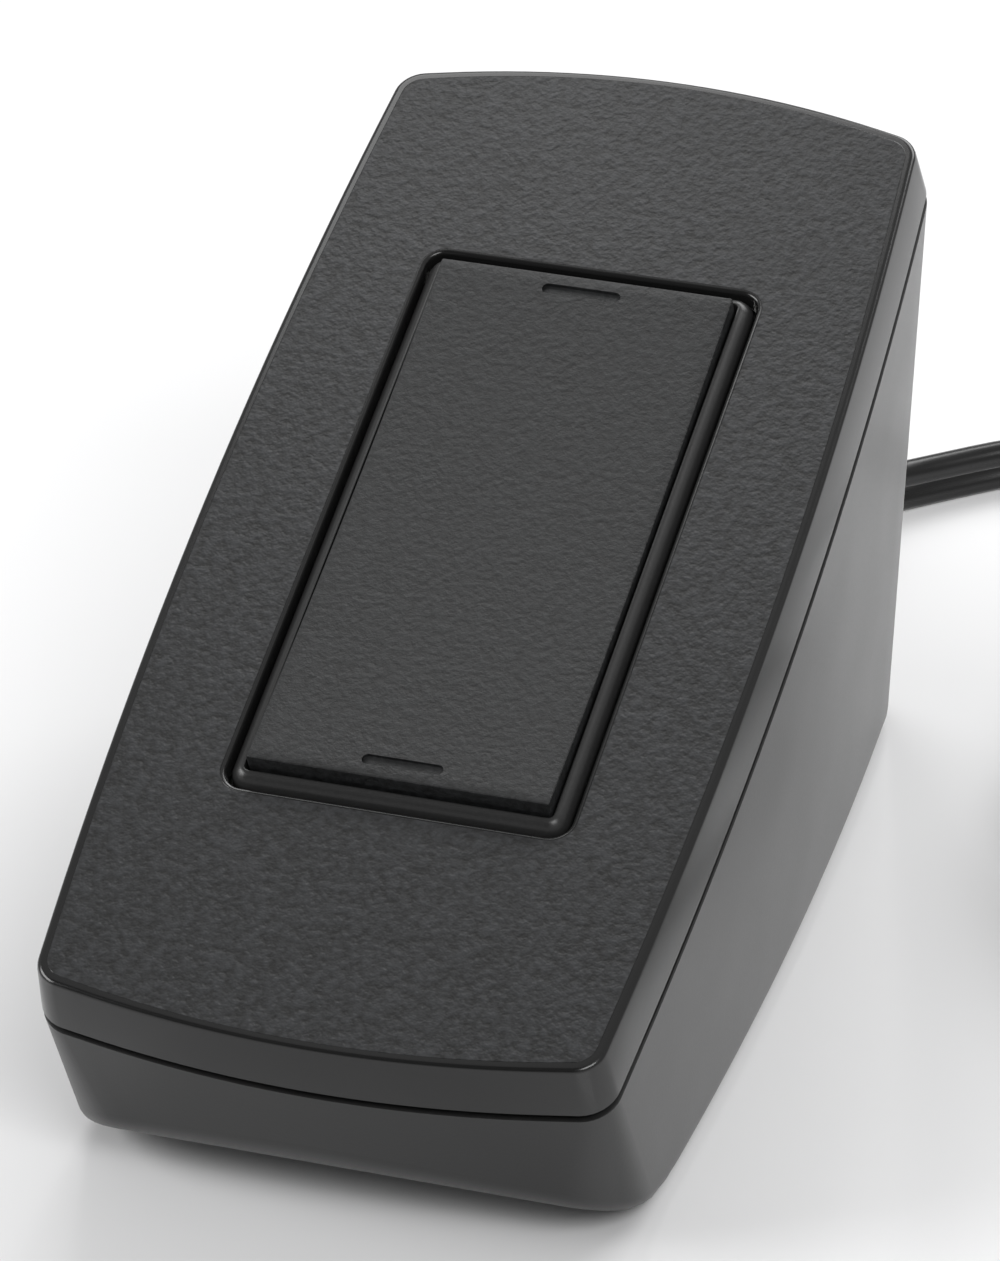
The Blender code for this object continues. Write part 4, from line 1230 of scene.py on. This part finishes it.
def make_blade(node):
    low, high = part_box(node)
    size, place = high - low, (low + high) / 2
    bpy.ops.object.select_all(action="DESELECT")
    bpy.ops.mesh.primitive_cube_add(size=1.0, location=place)
    blade = bpy.context.object
    blade.name = node.replace("plug_blade", "blade")
    blade.scale = (size.x, size.y + BLADE_ROOT, size.z)
    blade.location.y += BLADE_ROOT / 2
    bpy.ops.object.transform_apply(location=True, scale=True)
    bpy.ops.object.mode_set(mode="EDIT")
    bpy.ops.mesh.select_mode(type="FACE")
    bpy.ops.mesh.select_all(action="DESELECT")
    mesh = bmesh.from_edit_mesh(blade.data)
    for face in mesh.faces:
        face.select = face.normal.y < -0.5
    bpy.ops.mesh.bevel(offset=BLADE_CHAMFER, segments=4)
    bpy.ops.object.mode_set(mode="OBJECT")
    hole_place = (place.x, low.y + BLADE_HOLE_FROM_TIP, place.z)
    cut(blade, rod(BLADE_HOLE, 6.0 * MM, hole_place, SIDEWAYS, sides=32))
    return finished(blade, PLUG_BRASS, "housing", "plug_brass", node)


PLUG = make_plug()
BLADES = [make_blade("plug_blade_left"), make_blade("plug_blade_right")]

# %% [markdown]
# ## Tie
#
# A hook-and-loop strap holds the coil. It is a closed band round all the turns at one place. The band is
# swept as a ring: its outline is carried from one edge to the other, and back on the outer side.

# %% Tie
STRAP_HALF = 4.0 * MM
STRAP_THICK = 0.4 * MM
STRAP_EDGE = 0.1 * MM
STRAP_AIR = 0.6 * MM
STRAP_CORNER = 1.2 * MM


def make_tie():
    low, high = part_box("cord_tie")
    coil_low, coil_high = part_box("cord_coil")
    centre, coil = (low + high) / 2, (coil_low + coil_high) / 2
    outward = Vector((centre.x - coil.x, centre.y - coil.y, 0.0)).normalized()
    sideways = Vector((-outward.y, outward.x, 0.0))
    spot = Vector((coil.x, coil.y, 0.0)) + outward * (COIL_OUTER - COIL_PITCH * TURNS_IN / 2)
    turns_half = COIL_PITCH * (TURNS_IN + 1.0) / 2
    past_outer_turn = (coil_high.x - coil_low.x) / 2 - COIL_OUTER
    reach = turns_half + past_outer_turn + STRAP_AIR

    def loop(grow, side):
        half = reach + grow
        top = high.z - STRAP_THICK + grow
        plan = outline(half, half, STRAP_THICK - grow, top, STRAIGHT, STRAP_CORNER + grow)
        return [spot + outward * p.x + sideways * side + UP * p.y for p in plan]

    inner, outer = STRAP_EDGE, STRAP_THICK - STRAP_EDGE
    edge = STRAP_HALF - STRAP_EDGE
    profile = [
        (0.0, -edge), (inner, -STRAP_HALF), (outer, -STRAP_HALF), (STRAP_THICK, -edge),
        (STRAP_THICK, edge), (outer, STRAP_HALF), (inner, STRAP_HALF), (0.0, edge),
    ]
    band = swept("tie_strap", [loop(grow, side) for grow, side in profile], ring_shaped=True)
    return finished(band, TIE_BLACK, "housing", "tie_black", "cord_tie")


TIE = make_tie()

# %% [markdown]
# ## The cord as a whole
#
# The coil lies close beside the housing, and its black mirror image would darken the housing's glossy side.
# Blender's ray switches keep the coil, the tie and the plug out of mirror images and bounced light. The camera
# still sees them, and they still throw shadows.

# %% The cord as a whole
for piece in (MAINS_CORD, TIE, PLUG, *BLADES):
    piece.visible_glossy = False
    piece.visible_diffuse = False
drawn = sum((b - a).length for a, b in zip(CORD_LINE, CORD_LINE[1:]))
print("cord drawn", round(drawn, 3), "m long")

# %% [markdown]
# ## Feet and case screws
#
# Four rubber pads sit in round recesses and stand half a millimetre proud. The case screws go up deep
# wells from below. Each kind is modelled once and copied, and each copy gets a mesh of its own.

# %% Feet and screws
SHANK = 1.4 * MM
THREAD_PITCH = 1.2 * MM
THREAD_DEEP = 0.35 * MM
SCREW_POINT = 1.5 * MM
CROSS_BAR = (2.9 * MM, 0.6 * MM, 2.2 * MM)


def copied(piece, name, place):
    twin = piece.copy()
    twin.data = piece.data.copy()
    twin.name = name
    bpy.context.scene.collection.objects.link(twin)
    twin.location = place
    return twin


def turned(name, profile, sides):
    """A round piece about the Z axis from its radii and heights."""
    rings = []
    for radius, height in profile:
        rings.append([Vector((radius * x, radius * y, height)) for x, y in circle(sides)])
    return swept(name, rings)


def make_feet():
    low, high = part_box(FOOT_NODES[0])
    radius, tall = (high.x - low.x) / 2, high.z - low.z
    profile = [
        (radius - 1.6 * MM, 0.15 * MM), (radius - 1.4 * MM, 0.0), (radius - 0.3 * MM, 0.0),
        (radius - 0.09 * MM, 0.09 * MM), (radius, 0.3 * MM), (radius, tall),
    ]
    pad = turned("pad_pattern", profile, 64)
    for node in FOOT_NODES:
        place = middle(node)
        foot = copied(pad, node.replace("foot_", "pad_"), (place.x, place.y, 0.0))
        finished(foot, FOOT_RUBBER, "housing", "foot_rubber", node)
    bpy.data.objects.remove(pad, do_unlink=True)


def make_screws():
    low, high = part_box(SCREW_NODES[0])
    head_radius, tip = (high.x - low.x) / 2, high.z - low.z
    profile = [
        (1.0 * MM, 0.0), (1.9 * MM, 0.18 * MM), (2.4 * MM, 0.7 * MM), (head_radius, 1.4 * MM),
        (head_radius, HEAD_HIGH), (SHANK, HEAD_HIGH),
    ]
    height = HEAD_HIGH + THREAD_PITCH / 2
    while height + THREAD_PITCH < tip - SCREW_POINT:
        profile += [(SHANK, height), (SHANK - THREAD_DEEP, height + THREAD_PITCH / 2)]
        height += THREAD_PITCH
    profile += [(SHANK, height), (0.3 * MM, tip)]
    screw = turned("screw_pattern", profile, 32)
    for turn in (0.0, math.pi / 2):
        bpy.ops.object.select_all(action="DESELECT")
        bpy.ops.mesh.primitive_cube_add(size=1.0, location=(0.0, 0.0, 0.2 * MM), rotation=(0.0, 0.0, turn))
        bar = bpy.context.object
        bar.scale = CROSS_BAR
        cut(screw, bar)
    for node in SCREW_NODES:
        place = middle(node)
        name = node.replace("case_screw", "cover_screw")
        one = copied(screw, name, (place.x, place.y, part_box(node)[0].z))
        finished(one, ZINC_STEEL, "housing", "zinc_steel", node)
    bpy.data.objects.remove(screw, do_unlink=True)


make_feet()
make_screws()

# %% [markdown]
# ## Inner parts
#
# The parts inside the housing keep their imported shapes. They can't be seen while it is closed, but each
# gets the finish that it has on a bench.

# %% Inner finishes
INNER_LOOKS = {
    "inner_plastic": (grey(0.07), grey(0.12), 0.5, 0.5 * MM, 0.01 * MM, 0.08),
    "board_green": ((0.02, 0.12, 0.05), (0.04, 0.19, 0.08), 0.4, 0.8 * MM, 0.01 * MM, 0.1),
    "wire_white": ((0.70, 0.69, 0.65), (0.84, 0.83, 0.79), 0.45, 0.8 * MM, 0.01 * MM, 0.08),
    "can_blue": ((0.035, 0.06, 0.17), (0.06, 0.10, 0.24), 0.38, 0.7 * MM, 0.005 * MM, 0.08),
    "winding_tape": ((0.66, 0.52, 0.12), (0.82, 0.68, 0.22), 0.5, 0.6 * MM, 0.02 * MM, 0.08),
}
INNER_FINISHES = {name: moulded(name, *look) for name, look in INNER_LOOKS.items()}
INNER_FINISHES["zinc_steel"] = ZINC_STEEL
INNER_FINISHES["cord_vinyl"] = PLUG_VINYL
given = 0
for part in frame["record"]["subparts"]:
    node = NODES[part["node"]]
    if not node.hide_render and part["material_slot"] in INNER_FINISHES:
        node.data.materials.clear()
        node.data.materials.append(INNER_FINISHES[part["material_slot"]])
        given += 1
print("inner parts finished:", given)

# %% [markdown]
# ## Floor and light
#
# The floor is plain, pale and a little glossy. A pale room fills in, and large soft lights stand behind,
# on the left and in front on the right. A small one close over the rear left brightens the far end of
# the cover. A black card hangs high in front on the left, as in a studio. The rounded edges that face it
# mirror it, and so they draw thin dark lines between lighter planes.

# %% Floor and light
ROOM_LIGHT = 0.38
LIGHTS = [
    ("rear_light", (0.35, 1.1, 0.9), (0.0, 0.0, 0.0), (1.2, 0.7), 12.0),
    ("left_light", (-1.1, -0.5, 0.7), (0.0, -0.05, 0.0), (0.9, 0.6), 12.0),
    ("front_light", (0.7, -0.8, 1.0), (0.0, 0.0, 0.0), (0.8, 0.5), 9.0),
    ("near_light", (-0.09, 0.16, 0.26), (0.0, 0.03, 0.05), (0.12, 0.12), 0.16),
]
FLAG_PLACE = Vector((-0.32, -1.0, 0.90))
FLAG_SIZE = 1.7


def make_floor():
    bpy.ops.object.select_all(action="DESELECT")
    bpy.ops.mesh.primitive_plane_add(size=8.0)
    floor = bpy.context.object
    floor.name = "floor"
    finish = Finish("floor_white", Specular_IOR_Level=0.5)
    finish.feed(Base_Color=(0.86, 0.86, 0.865, 1.0), Roughness=0.16)
    floor.data.materials.append(finish.material)


def add_light(name, place, aim, size, power):
    """A rectangular soft light at a place, turned to its aim."""
    bpy.ops.object.light_add(type="AREA", location=place)
    light = bpy.context.object
    light.name = name
    light.data.shape = "RECTANGLE"
    light.data.size, light.data.size_y = size
    light.data.energy = power
    light.rotation_euler = (Vector(aim) - Vector(place)).to_track_quat("-Z", "Y").to_euler()
    print(name, power, "W")


def make_room():
    world = bpy.data.worlds.new("room")
    bpy.context.scene.world = world
    world.use_nodes = True
    background = world.node_tree.nodes["Background"]
    background.inputs["Color"].default_value = (1.0, 1.0, 1.0, 1.0)
    background.inputs["Strength"].default_value = ROOM_LIGHT
    bpy.context.scene.view_settings.view_transform = "Standard"


def make_flag():
    """The black card, turned to face the object."""
    bpy.ops.object.select_all(action="DESELECT")
    bpy.ops.mesh.primitive_plane_add(size=1.0, location=FLAG_PLACE)
    flag = bpy.context.object
    flag.name = "flag"
    flag.scale = (FLAG_SIZE, FLAG_SIZE, 1.0)
    flag.rotation_euler = (-FLAG_PLACE).to_track_quat("Z", "Y").to_euler()
    finish = Finish("flag_black", Specular_IOR_Level=0.0)
    finish.feed(Base_Color=(0.0, 0.0, 0.0, 1.0), Roughness=1.0)
    flag.data.materials.append(finish.material)


make_floor()
make_room()
for light in LIGHTS:
    add_light(*light)
make_flag()
